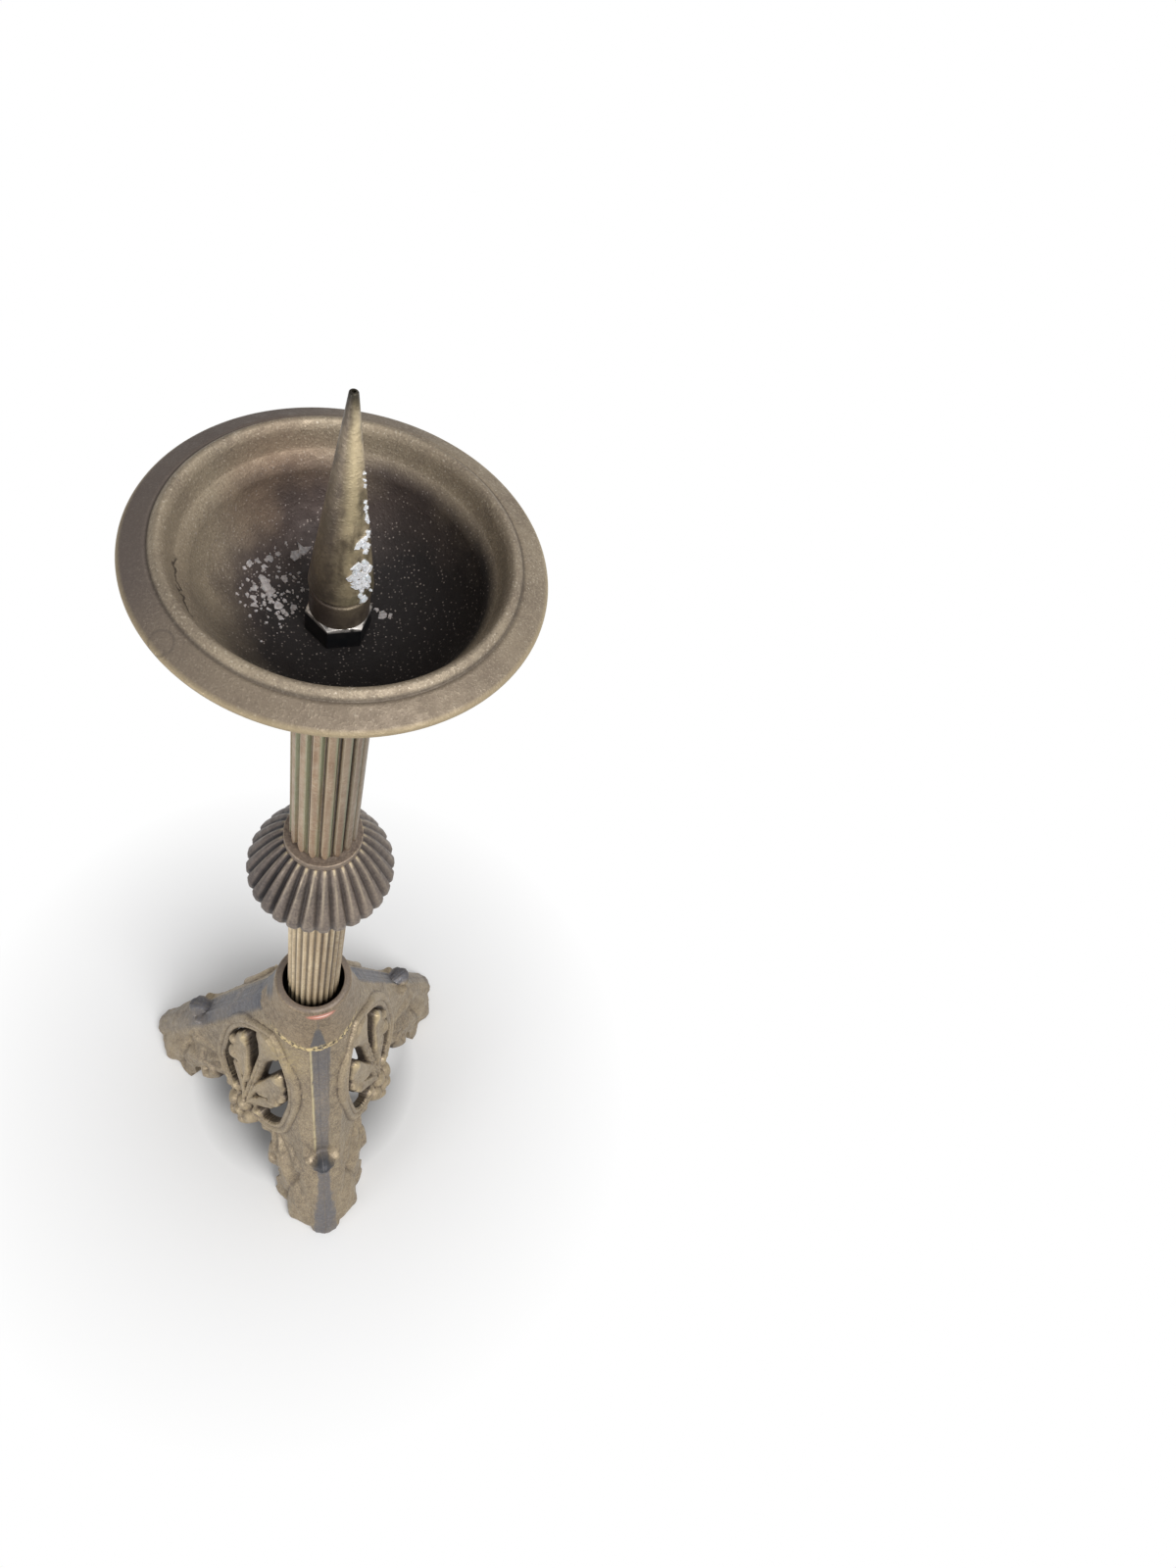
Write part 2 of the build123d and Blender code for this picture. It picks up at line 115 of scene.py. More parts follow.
toes = in_mm(bulge=4, middle=34, half_height=48, foot_half_width=14, swell=10, blend=30, underside=13)
toe_top = knuckle.height - 20 * mm
toe_round = in_mm(rise=2.4, half=8)
toe_corner = in_mm(cut=2.4, from_band=2, spread=4.5)
toe_tuck = in_mm(depth=5, reach=26, blend=12)
calves = in_mm(bulge=7, place=(25, 16), spread=(15, 26))
leg_crease = in_mm(place=64, depth=1.7, half=2, foot=10, top=66, blend=14)
leg_hollow = in_mm(place=(47, 51), depth=2, spread=4.5)
leg_folds = in_mm(relief=1.3, centre=22, height=20, from_frame=6, start=(8, 18))
leg_fold_count = 15


def along(z, foot, neck):
    return foot + (neck - foot) * z / base_top


def side_section(z):
    ridge = along(z, wall.toe_ridge, wall.neck_ridge)
    seam = Vector((math.cos(ridge_turn), math.sin(ridge_turn))) * ridge
    band = seam + Vector((math.sin(ridge_turn), -math.cos(ridge_turn))) * wall.band
    distance = along(z, wall.toe_distance, wall.neck_distance)
    cheek = Vector((distance, along(z, wall.toe_half_width, wall.neck_half_width)))
    return cheek, band, seam


def bead(distance, centre, half):
    return math.sqrt(max(0.0, 1 - ((distance - centre) / half) ** 2))


def swell(distance, spread):
    return math.exp(-(distance / spread) ** 2)


def fade(value, low, high):
    t = max(0.0, min(1.0, (value - low) / (high - low)))
    return t * t * (3 - 2 * t)


def frame_depth(u, v):
    if v > arch.spring:
        return arch_reach + arch.half_width - math.hypot(abs(u) + arch_reach, v - arch.spring)
    return arch.half_width - math.hypot(u, min(0.0, v - arch.waist))


def limb(u, v, spine):
    nearest = arch.apex
    for (u0, v0, r0), (u1, v1, r1) in zip(spine, spine[1:]):
        du, dv = u1 - u0, v1 - v0
        t = max(0.0, min(1.0, ((u - u0) * du + (v - v0) * dv) / (du * du + dv * dv)))
        nearest = min(nearest, math.hypot(u - u0 - t * du, v - v0 - t * dv) - r0 - t * (r1 - r0))
    return nearest


def bud(u, v, place):
    return math.hypot(u - place[0], v - place[1]) - place[2]


boss_places = []
for number in range(boss_petals):
    turn = math.radians(90) + math.tau * number / boss_petals
    boss_places.append((
        boss.ring * math.cos(turn), boss.height + boss.ring * math.sin(turn), boss.petal
    ))


def soft_least(parts):
    least = parts[0]
    for part in parts[1:]:
        share = max(0.0, blade.melt - abs(least - part)) / blade.melt
        least = min(least, part) - share * share * blade.melt / 4
    return least


def leaf_outline(across, v, leaf):
    return soft_least([limb(across, v, leaf.spine)] + [bud(across, v, place) for place in leaf.buds])


def foliage(u, v):
    across = abs(u)
    parts = [limb(across, v, stalk.spine)]
    parts += [leaf_outline(across, v, leaf) for leaf in leaves]
    parts += [bud(u, v, place) for place in boss_places]
    return soft_least(parts)


def lower_gap(u, v):
    across = abs(u)
    root_u, root_v = wings.root
    edge = math.hypot(wings.tip - root_u, root_v)
    wing = ((wings.tip - across) * root_v - v * (wings.tip - root_u)) / edge
    wing += wings.wave * math.sin(math.tau * v / ruffle.pitch)
    parts = [hem.height - v, bud(across, v, (*lobes.place, lobes.radius)), wing]
    parts += [bud(u, v, place) for place in boss_places]
    wave = max(0.0, -math.cos(math.tau * (across - first_tooth) / ruffle.pitch))
    wave *= fade(across, notch_start, first_tooth) * fade(notch.end - across, 0, notch.blend)
    return max(min(parts), notch.height * wave - v - hem.clearance)


def missing(u, v):
    return max(lower_gap(u, v), min(frame_depth(u, v) - arch.inset, foliage(u, v)))


def leaf_rise(across, v, leaf):
    depth = -leaf_outline(across, v, leaf)
    if depth <= 0:
        return -arch.drop
    rounded = bead(max(0.0, blade.edge - depth), 0, blade.edge)
    turn = math.atan2(across - leaf.root[0], v - leaf.root[1])
    fold = 0.5 + 0.5 * math.cos(leaf.folds * turn)
    crown = leaf.rise * (0.3 + 0.7 * rounded) * (0.58 + 0.42 * fold)
    return crown + leaf.lift * fade(v, *blade.tip) * rounded


def leaf_height(u, v):
    height = max(leaf_rise(abs(u), v, leaf) for leaf in leaves)
    stem = -limb(abs(u), v, stalk.spine)
    if stem > 0:
        strand = 0.5 + 0.5 * math.cos(math.tau * (v + 1.5 * u) / stalk.pitch)
        groove = 1 - 0.35 * swell(u, stalk.groove)
        round_stem = math.sqrt(min(1.0, stem / stalk.crown * 1.6))
        height = max(height, stalk.relief * (0.8 + 0.25 * strand) * groove * round_stem)
    return height


def wall_bend(u, v, seam, z):
    bend = curl.rise * swell(lower_gap(u, v), curl.depth) * fade(abs(u), *curl.start)
    toe_half_width = toes.foot_half_width + toes.swell * fade(z, 0, toes.middle)
    toe = max(0.0, 1 - ((z - toes.middle) / toes.half_height) ** 2)
    bend += toes.bulge * toe * max(0.0, 1 - (seam / toe_half_width) ** 2) ** 0.7
    below = fade(toe_top - z, 0, toes.blend)
    bend += toe_round.rise * bead(seam, 0, toe_round.half) * below
    corner = swell(seam - wall.band - toe_corner.from_band, toe_corner.spread)
    bend -= toe_corner.cut * corner * below
    tucked = 1 - bead(max(0.0, toes.underside - z), 0, toes.underside)
    bend -= toe_tuck.depth * tucked * fade(toe_tuck.reach - seam, 0, toe_tuck.blend)
    shifted = ruffle.drift * noise.noise(Vector((u, v, 9)) / ruffle.drift_pitch)
    wave = math.cos(math.tau * (abs(u) - first_tooth + shifted) / ruffle.pitch)
    bend += ruffle.relief * wave * fade(ruffle.height - v, 0, ruffle.height) * fade(seam, *ruffle.start)
    calf = swell(seam - calves.place[0], calves.spread[0]) * swell(z - calves.place[1], calves.spread[1])
    return bend + calves.bulge * calf


def panel_height(u, v):
    depth = frame_depth(u, v)
    height = skin.relief * noise.noise(Vector((u, v, 0)) / skin.pitch)
    if depth > -arch.overlap:
        for moulding in (outer_bead, inner_bead):
            height = max(height, moulding.relief * bead(depth, moulding.centre, moulding.half))
        if depth > arch.inset:
            height = leaf_height(u, v)
        else:
            height = max(height, leaf_rise(abs(u), v, crown_leaf) * fade(depth, 0, blade.climb))
    for place in boss_places:
        height = max(height, boss.petal_relief * bead(bud(u, v, place) + place[2], 0, boss.petal))
    spread = math.hypot(u, v - boss.height)
    if spread < boss.button:
        button = boss.button_relief * 0.7 * bead(spread, 0, boss.button)
        height = max(height, boss.petal_relief / 3 + button)
    return height


def leg_height(u, v, seam):
    across = abs(u)
    lobe = bud(across, v, (*lobes.place, 0))
    height = lobes.dome * bead(lobe, 0, lobes.radius) - lobes.pit * swell(lobe, lobes.pit_spread)
    fold = math.atan2(knuckle.height - v, across - wings.root[0] + leg_folds.centre)
    folded = fade(knuckle.height - v, 0, leg_folds.height) * fade(seam, *leg_folds.start)
    folded *= fade(-frame_depth(u, v), 0, leg_folds.from_frame)
    height += leg_folds.relief * math.cos(leg_fold_count * fold) * folded
    crease = swell(across - leg_crease.place, leg_crease.half)
    crease *= fade(v, 0, leg_crease.foot) * fade(leg_crease.top - v, 0, leg_crease.blend)
    height -= leg_crease.depth * crease
    hollow = bud(across, v, (*leg_hollow.place, 0))
    return height - leg_hollow.depth * swell(hollow, leg_hollow.spread)


def ridge_height(seam, z):
    up = z - knuckle.height
    height = knuckle.relief * bead(math.hypot(seam, up), 0, knuckle.radius)
    collar = bead(up, 0, knuckle_collar.half)
    collar *= fade(knuckle_collar.end - seam, 0, knuckle_collar.blend)
    ear = swell(up, knuckle_ear.spread) * swell(seam - knuckle_ear.place, knuckle_ear.spread)
    dip = swell(up - knuckle_dip.above, knuckle_dip.height) * swell(seam, knuckle_dip.width)
    height += knuckle_collar.rise * collar + knuckle_ear.rise * ear - knuckle_dip.depth * dip
    if z > knuckle.height + knuckle_dip.above:
        height += seam_line.arris * bead(seam, wall.band, seam_line.arris)
    return height - seam_line.depth * swell(seam, seam_line.half)


def relief_height(u, v, seam, z):
    return panel_height(u, v) + leg_height(u, v, seam) + ridge_height(seam, z)


def pressed_to_edge(u, v):
    step = 0.05 * mm
    for attempt in range(3):
        gap = missing(u, v)
        slope_u = (missing(u + step, v) - gap) / step
        slope_v = (missing(u, v + step) - gap) / step
        steep = max(slope_u ** 2 + slope_v ** 2, 0.25)
        u -= gap * slope_u / steep
        v -= gap * slope_v / steep
    return u, v


def thicken(sheet, inward):
    grown = bmesh.ops.extrude_face_region(sheet, geom=sheet.faces[:], use_keep_orig=True)["geom"]
    for part in grown:
        if isinstance(part, bmesh.types.BMVert):
            part.co += part[inward]
    sheet.verts.layers.float_vector.remove(inward)
    bmesh.ops.recalc_face_normals(sheet, faces=sheet.faces)


def side_casting():
    casting = bmesh.new()
    relief, knob, rubbed, proud = map(casting.verts.layers.float.new, casting_marks)
    from_seam = casting.verts.layers.float.new("from_seam")
    inward = casting.verts.layers.float_vector.new("inward")
    bmesh.ops.create_grid(casting, x_segments=2 * half_columns, y_segments=side_rows, size=1)
    places = {}
    for vert in casting.verts:
        z = (vert.co.y + 1) / 2 * base_top
        hand = math.copysign(1, vert.co.x)
        column = abs(vert.co.x) * half_columns
        cheek, band, seam = side_section(z)
        if column <= face_columns + 0.01:
            out, across = cheek.x, cheek.y * column / face_columns
            to_seam = cheek.y - across + (band - cheek).length + wall.band
        elif column <= face_columns + cheek_columns + 0.01:
            spot = cheek.lerp(band, (column - face_columns) / cheek_columns)
            out, across = spot
            to_seam = (band - spot).length + wall.band
        else:
            spot = band.lerp(seam, (column - face_columns - cheek_columns) / band_columns)
            out, across = spot
            to_seam = (seam - spot).length
        vert.co = (out, hand * across, z)
        places[vert] = [hand * across, z * face_slope, to_seam, z]
    gone = []
    for face in casting.faces:
        u = sum(places[vert][0] for vert in face.verts) / 4
        v = sum(places[vert][1] for vert in face.verts) / 4
        on_face = all(abs(vert.co.x - along(vert.co.z, wall.toe_distance, wall.neck_distance)) < 1e-6
                      for vert in face.verts)
        if on_face and missing(u, v) > 0:
            gone.append(face)
    bmesh.ops.delete(casting, geom=gone, context="FACES")
    for vert in casting.verts:
        u, v, to_seam, z = places[vert]
        if vert.is_boundary and to_seam > 0.1 * mm and 0.5 * mm < z < base_top - 1 * mm:
            u, v = pressed_to_edge(u, v)
            z = max(0.0, v / face_slope)
            vert.co = (along(z, wall.toe_distance, wall.neck_distance), u, z)
            places[vert] = [u, v, to_seam, z]
    casting.normal_update()
    heights = {vert: relief_height(*places[vert]) for vert in casting.verts}
    level_ground = heights
    for smoothing in range(6):
        level_ground = {
            vert: sum((level_ground[edge.other_vert(vert)] for edge in vert.link_edges), level_ground[vert])
            / (1 + len(vert.link_edges)) for vert in casting.verts
        }
    for vert, height in heights.items():
        u, v, to_seam, z = places[vert]
        bend = wall_bend(u, v, to_seam, z)
        from_knuckle = math.hypot(to_seam, z - knuckle.height)
        # painted highlight: the leaf tips get a raised proud value, which brightens them further down
        tip = swell(math.hypot(abs(u) - blade.tip_place[0], v - blade.tip_place[1]), blade.tip_spread)
        vert[proud] = (height - level_ground[vert]) / mm * fade(from_knuckle, *knuckle.unworn)
        vert[proud] += 1.2 * tip * fade(height, 1 * mm, 3 * mm)
        vert[relief] = height / mm
        vert[from_seam] = math.copysign(to_seam, u) / mm
        vert[knob] = 1 - fade(from_knuckle, *knuckle.dirt)
        vert[rubbed] = swell(to_seam - rub_line, seam_line.half) * fade(z, *rub_start) if u > 0 else 0
        vert.co += vert.normal * (height + bend)
        vert[inward] = vert.normal * -(height + wall.thickness)
    thicken(casting, inward)
    for vert in casting.verts:
        vert.co.z = max(0.0, vert.co.z)
    return casting


def tone(red, green, blue):
    def linear(part):
        part /= 255
        return part / 12.92 if part <= 0.04045 else ((part + 0.055) / 1.055) ** 2.4
    return linear(red), linear(green), linear(blue), 1.0


class Paint:
    def __init__(self, holder, colour=None):
        holder.use_nodes = True
        self.holder = holder
        self.tree = holder.node_tree
        self.coordinates = self.node("TexCoord").outputs
        self.point = self.coordinates["Object"]
        self.colour = colour

    def join(self, made, sockets):
        for name, value in sockets.items():
            if isinstance(value, bpy.types.NodeSocket):
                self.tree.links.new(value, made.inputs[name])
            else:
                made.inputs[name].default_value = value
        return made

    def node(self, kind, sockets=None, **settings):
        made = self.tree.nodes.new("ShaderNode" + kind)
        for name, value in settings.items():
            setattr(made, name, value)
        return self.join(made, sockets or {})

    def surface(self, sockets):
        self.join(self.tree.nodes["Principled BSDF"], sockets)

    def marked(self, name):
        return self.node("Attribute", attribute_name=name).outputs["Fac"]

    def level(self, value, low, high, bottom=0.0, top=1.0):
        sockets = {"Value": value, "From Min": low, "From Max": high, "To Min": bottom, "To Max": top}
        return self.node("MapRange", sockets).outputs[0]

    def math(self, way, first, second=0.0):
        return self.node("Math", {0: first, 1: second}, operation=way).outputs[0]

    def times(self, *shares):
        product = None
        for share in shares:
            if isinstance(share, tuple):
                share = self.level(*share)
            product = share if product is None else self.math("MULTIPLY", product, share)
        return product

    def stretched(self, tall):
        return self.node("VectorMath", {0: self.point, 1: (1, 1, tall)}, operation="MULTIPLY").outputs[0]

    def measure(self, way, first, second=(0, 0, 0)):
        return self.node("VectorMath", {0: first, 1: second}, operation=way).outputs["Value"]

    def from_axis(self):
        return self.measure("LENGTH", self.stretched(0))

    def from_spot(self, spot, tall=1):
        return self.measure("DISTANCE", self.stretched(tall), (spot[0], spot[1], spot[2] * tall))

    def xyz(self):
        return self.node("SeparateXYZ", {0: self.point}).outputs

    def grain(self, scale, detail=4.0, tall=1):
        point = self.point if tall == 1 else self.stretched(tall)
        return self.node("TexNoise", {"Vector": point, "Scale": scale, "Detail": detail}).outputs[0]

    def clouds(self, scale, low, high, bottom=0.0, top=1.0, detail=4.0, tall=1):
        return self.level(self.grain(scale, detail, tall), low, high, bottom, top)

    def bump(self, height, strength, depth):
        return self.node("Bump", {"Height": height, "Strength": strength, "Distance": depth}).outputs[0]

    def blend(self, share, under, over):
        return self.node("Mix", {0: share, 6: under, 7: over}, data_type="RGBA").outputs[2]

    def coat(self, shade, *shares):
        self.colour = self.blend(self.times(*shares), self.colour, shade)
        self.surface({"Base Color": self.colour})


def aged_brass(name, gold, brown, pale, dull=0.56, polished=0.4, gritty=0.3, grit_scale=800):
    brass = Paint(bpy.data.materials.new(name), brown)
    deep_brown = tuple(part / 2 for part in brown[:3]) + (1.0,)
    mottle = brass.clouds(260, 0.36, 0.7)
    speck = brass.clouds(1000, 0.52, 0.7, detail=2.0)
    grit = brass.grain(grit_scale, 3.0)
    brass.coat(gold, brass.clouds(36, 0.36, 0.64))
    brass.coat(pale, mottle, 0.35)
    brass.coat(pale, speck, 0.45)
    brass.coat(pale, (grit, 0.5, 0.66, 0, gritty))
    brass.coat(deep_brown, (grit, 0.5, 0.34, 0, gritty))
    tooth = brass.bump(brass.math("ADD", mottle, speck), 0.3, 0.25 * mm)
    brass.surface({"Metallic": 0.55, "Roughness": brass.level(mottle, 0, 1, dull, polished), "Normal": tooth})
    return brass


def placed(name, data):
    made = bpy.data.objects.new(name, data)
    bpy.context.collection.objects.link(made)
    return made


def mesh_from(name, work, paint):
    mesh = bpy.data.meshes.new(name)
    work.to_mesh(mesh)
    work.free()
    mesh.materials.append(paint.holder)
    return mesh


def piece(name, work, paint, slot, *nodes):
    mesh = mesh_from(name, work, paint)
    mesh.shade_smooth()
    mesh.set_sharp_from_angle(angle=math.radians(42))
    made = placed(name, mesh)
    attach(made, "root")
    if nodes:
        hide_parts(*nodes)
    return made


filed_patch = (-19 * mm, -27 * mm, 160 * mm)
brass = aged_brass("cast_brass", tone(154, 138, 115), tone(124, 111, 96), tone(188, 171, 142), gritty=0.34)
relief, knob, rubbed, proud = map(brass.marked, casting_marks)
ridge = brass.marked("ridge")
plain = brass.math("SUBTRACT", 1.0, ridge)
patchy = brass.clouds(120, 0.36, 0.62)
# painted shade: the low ground between the raised parts is darkened
brass.coat(tone(96, 86, 76), (relief, 1.4, -0.8), patchy, 0.35)
brass.coat(tone(182, 164, 130), (relief, 1.5, 5.0), patchy, 0.25)
filed = brass.level(brass.from_spot(filed_patch), 20 * mm, 8 * mm)
brass.coat(tone(176, 158, 118), filed, brass.clouds(420, 0.38, 0.6, 0.1, 0.6))
cloudy = brass.clouds(60, 0.34, 0.56, 0.7, 1.0, detail=6.0)
freckled = brass.clouds(520, 0.36, 0.56, 0.78, 1.0, detail=2.0)
brass.coat(tone(106, 105, 109), ridge, cloudy, freckled)
brass.coat(tone(150, 148, 150), ridge, brass.clouds(700, 0.56, 0.68, 0, 0.4, detail=2.0))
# the grey ridge bands are painted darker towards the neck
darker_towards_neck = brass.level(brass.xyz()[2], base_top - 34 * mm, base_top - 6 * mm, 0, 0.6)
brass.coat(tone(82, 85, 94), ridge, darker_towards_neck)
cells = brass.node("TexVoronoi", {"Vector": brass.point, "Scale": 620}).outputs["Distance"]
brass.coat(tone(206, 186, 144), (cells, 0.34, 0.12), (relief, 1.6, 0.6), plain, 0.4)
# wear on the proud crests, together with the painted highlight on the leaf tips
wear_and_tip_highlight = brass.times((proud, 0.3, 1.3), brass.clouds(90, 0.32, 0.55, 0.4, 1))
brass.coat(tone(210, 190, 150), wear_and_tip_highlight, plain, 0.7)
# painted shade: hollows lying below their surroundings are darkened
brass.coat(tone(74, 65, 62), (proud, -0.15, -1.0), plain, 0.75)
brass.coat(tone(222, 208, 166), rubbed, brass.clouds(160, 0.3, 0.5))
brass.coat(tone(60, 62, 68), knob, 0.9)

side_looks = {
    "base_side_1": (-30, ((8.4, 3.6, 6.5, 0.9), (6.5, 5, 4, 0.4)), 0.1, (1, 0.35)),
    "base_side_2": (90, ((8.2, 6, 5, 0.4), (8.2, 6, 5, 0.4)), 0.1, (0.35, 0.35)),
    "base_side_3": (210, ((15, 13, 7, 0.35), (4.4, 3.4, 6.5, 0.9)), 0.85, (0.35, 1)),
}
grey_drift = 0.9
grey_drift_pitch = 7 * mm
grey_blend = (45 * mm, knuckle.height + 10 * mm)
casting = side_casting()
for node_name, (azimuth, grey_bands, rub_share, knob_shares) in side_looks.items():
    side = casting.copy()
    marks = side.verts.layers.float
    ridge_mark = marks.new("ridge")
    seam_mark, rub_mark, knob_mark = marks["from_seam"], marks["rubbed"], marks["knob"]
    for vert in side.verts:
        right = vert[seam_mark] > 0
        neck, waist, toe, toe_share = grey_bands[right]
        if vert.co.z > knuckle.height:
            grey = waist + (neck - waist) * (vert.co.z - knuckle.height) / (base_top - knuckle.height)
        else:
            grey = toe + (waist - toe) * vert.co.z / knuckle.height
        grey += grey_drift * noise.noise(vert.co / grey_drift_pitch)
        soft = 0.6 + 0.2 * max(0.0, grey - 5)
        leg_share = 0.72 if toe_share > 0.5 else 1.0
        strength = toe_share + (leg_share - toe_share) * fade(vert.co.z, *grey_blend)
        vert[ridge_mark] = strength * (1 - fade(abs(vert[seam_mark]), grey - soft, grey + soft))
        vert[rub_mark] *= rub_share
        vert[knob_mark] *= knob_shares[right]
    turn = Matrix.Rotation(math.radians(azimuth), 3, "Z")
    bmesh.ops.rotate(side, cent=(0, 0, 0), matrix=turn, verts=side.verts)
    piece("cast_" + node_name, side, brass, "cast_brass", node_name)
casting.free()

# Base cap
# A cast brass collar, drawn in like a bell mouth, sits on the three sides and hides the neck between them.
# Its foot is a rough golden seam, its rim is worn to copper in front under a painted highlight streak, its
# mouth is painted in shade, and the stem stands loose in it.
cap_low, cap_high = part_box("base_cap")
cap_foot_radius = cap_high.x - 0.6 * mm
cap_seat = cap_low.z + 6 * mm
cap_corner_share = 0.055
bell = in_mm(
    foot_land=4, foot_wall=6, rim=23, rim_lean=0.2, shoulder=3.4, rim_round=2.8, edge_round=0.5, mouth=18.3,
    lip=2.2, hollow=0.9, seat=4, rod_hole=6, seam=4.5, grit=1.1, grit_pitch=2.2
)
lathe_steps = 144


def turned(profile, rounds, steps=lathe_steps):
    work = bmesh.new()
    verts = [work.verts.new((radius, 0, z)) for radius, z in profile]
    closing = verts[:1] if profile[0][0] > 0 else []
    for first, second in zip(verts, verts[1:] + closing):
        work.edges.new((first, second))
    for index, size in rounds.items():
        bmesh.ops.bevel(
            work, geom=[verts[index]], offset=size, offset_type="OFFSET", segments=5, profile=0.5,
            affect="VERTICES", material=-1
        )
    return spun(work, steps)


def spun(work, steps):
    bmesh.ops.spin(
        work, geom=work.verts[:] + work.edges[:], cent=(0, 0, 0), axis=(0, 0, 1), angle=math.tau, steps=steps,
        use_merge=True
    )
    bmesh.ops.remove_doubles(work, verts=work.verts, dist=0.01 * mm)
    bmesh.ops.recalc_face_normals(work, faces=work.faces)
    return work


flare_steps = 14
flare = []
for step in range(flare_steps + 1):
    t = step / flare_steps
    radius = cap_foot_radius + (bell.rim - cap_foot_radius) * t - bell.hollow * math.sin(math.pi * t)
    flare.append((radius, cap_low.z + bell.lip + (cap_high.z - cap_low.z - bell.lip - bell.shoulder) * t))
cap_profile = [
    (cap_foot_radius - bell.foot_land, cap_low.z),
    (cap_foot_radius, cap_low.z),
    *flare,
    (bell.rim - bell.rim_lean, cap_high.z),
    (bell.mouth, cap_high.z),
    (bell.mouth, cap_seat),
    (bell.rod_hole, cap_seat),
    (bell.rod_hole, cap_seat - bell.seat),
    (cap_foot_radius - bell.foot_wall, cap_seat - bell.seat),
]
rim_index = 2 + len(flare)
cap = turned(cap_profile, {1: bell.edge_round, rim_index: bell.rim_round, rim_index + 1: bell.edge_round})
for vert in cap.verts:
    radius = vert.co.xy.length
    if radius > bell.mouth + 0.5 * mm:
        drop = (cap_high.z - vert.co.z) / (cap_high.z - cap_low.z)
        corner = math.cos(3 * (math.atan2(vert.co.y, vert.co.x) + math.radians(90)))
        vert.co.xy *= 1 + cap_corner_share * drop * corner
        rough = fade(cap_low.z + bell.seam - vert.co.z, 0, 3 * mm)
        rough *= noise.noise(vert.co / bell.grit_pitch)
        vert.co.xy *= 1 + bell.grit * rough / radius

brass = aged_brass("cap_brass", tone(138, 121, 99), tone(114, 99, 82), tone(172, 153, 124), gritty=0.34)
x, y, z = brass.xyz()
around = brass.math("ADD", brass.math("ARCTAN2", y, x), math.radians(90))
corner = brass.math("COSINE", brass.times(around, 3))
corner = brass.math("ADD", corner, brass.level(z, cap_low.z + 4 * mm, cap_low.z + 27 * mm, 0.0, -0.12))
corner = brass.math("ADD", corner, brass.clouds(240, 0.3, 0.7, -0.012, 0.012))
brass.coat(tone(88, 89, 93), (corner, 0.87, 0.9, 0, 0.85))
from_stain = brass.from_spot((-25 * mm, 14 * mm, cap_high.z - 18 * mm))
from_stain = brass.math("ADD", from_stain, brass.clouds(90, 0.3, 0.7, -4 * mm, 4 * mm))
brass.coat(tone(90, 91, 94), (from_stain, 18 * mm, 12 * mm, 0, 0.85))
low = brass.math("ADD", z, brass.clouds(110, 0.3, 0.7, -1.4 * mm, 1.4 * mm))
low = brass.level(low, cap_low.z + 6 * mm, cap_low.z + 4 * mm)
in_front = brass.level(y, -8 * mm, -22 * mm, 0.04, 1.0)
broken = brass.times(brass.clouds(420, 0.38, 0.5), brass.clouds(150, 0.34, 0.5, 0.45, 1))
brass.coat(tone(222, 200, 148), low, in_front, broken)
brass.coat(tone(74, 64, 52), low, brass.clouds(300, 0.46, 0.38))
brass.coat(tone(120, 110, 105), (z, cap_high.z - 1.6 * mm, cap_high.z - 0.3 * mm, 0, 0.6))
copper_height = cap_high.z - 6 * mm
copper = brass.from_spot((2 * mm, -23.2 * mm, copper_height), tall=3)
brass.coat(tone(206, 138, 118), (copper, 10 * mm, 7 * mm, 0, 0.95))
# painted highlight: a pale streak across the copper patch on the rim
gleam = brass.from_spot((3 * mm, -23.2 * mm, copper_height), tall=8)
brass.coat(tone(255, 232, 222), (gleam, 7 * mm, 3.5 * mm, 0, 0.85))
# painted shade: the mouth and the seat inside it are painted near black
mouth = brass.level(brass.from_axis(), bell.mouth + 0.3 * mm, bell.mouth + 0.1 * mm)
brass.coat(tone(30, 28, 28), mouth)
piece("cap", cap, brass, "cast_brass", "base_cap")

# Tie rod, washer and rod nut
# A plain steel rod runs from under the cap to the pan and pulls the stand together; its nut has a washer.
# They are bought steel, left as the solids that carry them, and show only from underneath.
rod_steel = Paint(bpy.data.materials.new("rod_steel"), tone(92, 90, 88))
stain = rod_steel.clouds(140, 0.4, 0.66)
rod_steel.coat(tone(96, 70, 52), stain)
rod_steel.surface({"Metallic": 0.8, "Roughness": rod_steel.level(stain, 0, 1, 0.4, 0.75)})
for node_name in ("tie_rod", "rod_washer", "rod_nut"):
    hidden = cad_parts[node_name]
    hidden.data.materials.clear()
    hidden.data.materials.append(rod_steel.holder)

# Lower stem
# A drawn brass tube with twenty-four narrow reeds stands in the cap's mouth and carries the knop.
# Handling keeps the reed crests bright; the grooves are painted darker, the reed edges and the stem's left side
# carry painted highlight, and its right side painted shade.
lower_low, lower_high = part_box("lower_stem")
lower_ribs = 24
lower_rib_depth = 1.5 * mm
stem_bore = 12.6 * mm
rib_points = 14
front_turn = math.radians(-95)


def reeded_tube(radius, ribs, low, high, foot_levels, cut):
    outer = [(radius, low + level_up) for level_up in foot_levels] + [(radius, high)]
    tube = turned([(stem_bore, low), *outer, (stem_bore, high)], {}, steps=ribs * rib_points)
    valley = tube.verts.layers.float.new("valley")
    across = tube.verts.layers.float.new("across")
    for vert in tube.verts:
        reach = vert.co.xy.length
        if reach > stem_bore + 0.5 * mm:
            turn = (math.atan2(vert.co.y, vert.co.x) - front_turn) * ribs / math.tau
            depth, dirt = cut(abs(turn - round(turn)) * 2, vert.co.z)
            vert.co.xy *= (radius - depth) / reach
            vert[valley] = dirt
            vert[across] = (turn - round(turn)) * 2
    return tube


def narrow_reed(off_crest, z):
    groove = math.sin(off_crest * math.pi / 2) ** 1.8
    return lower_rib_depth * groove, groove


def facing(paint, way):
    reach = paint.math("MAXIMUM", paint.from_axis(), 1 * mm)
    return paint.math("DIVIDE", paint.measure("DOT_PRODUCT", paint.point, way), reach)


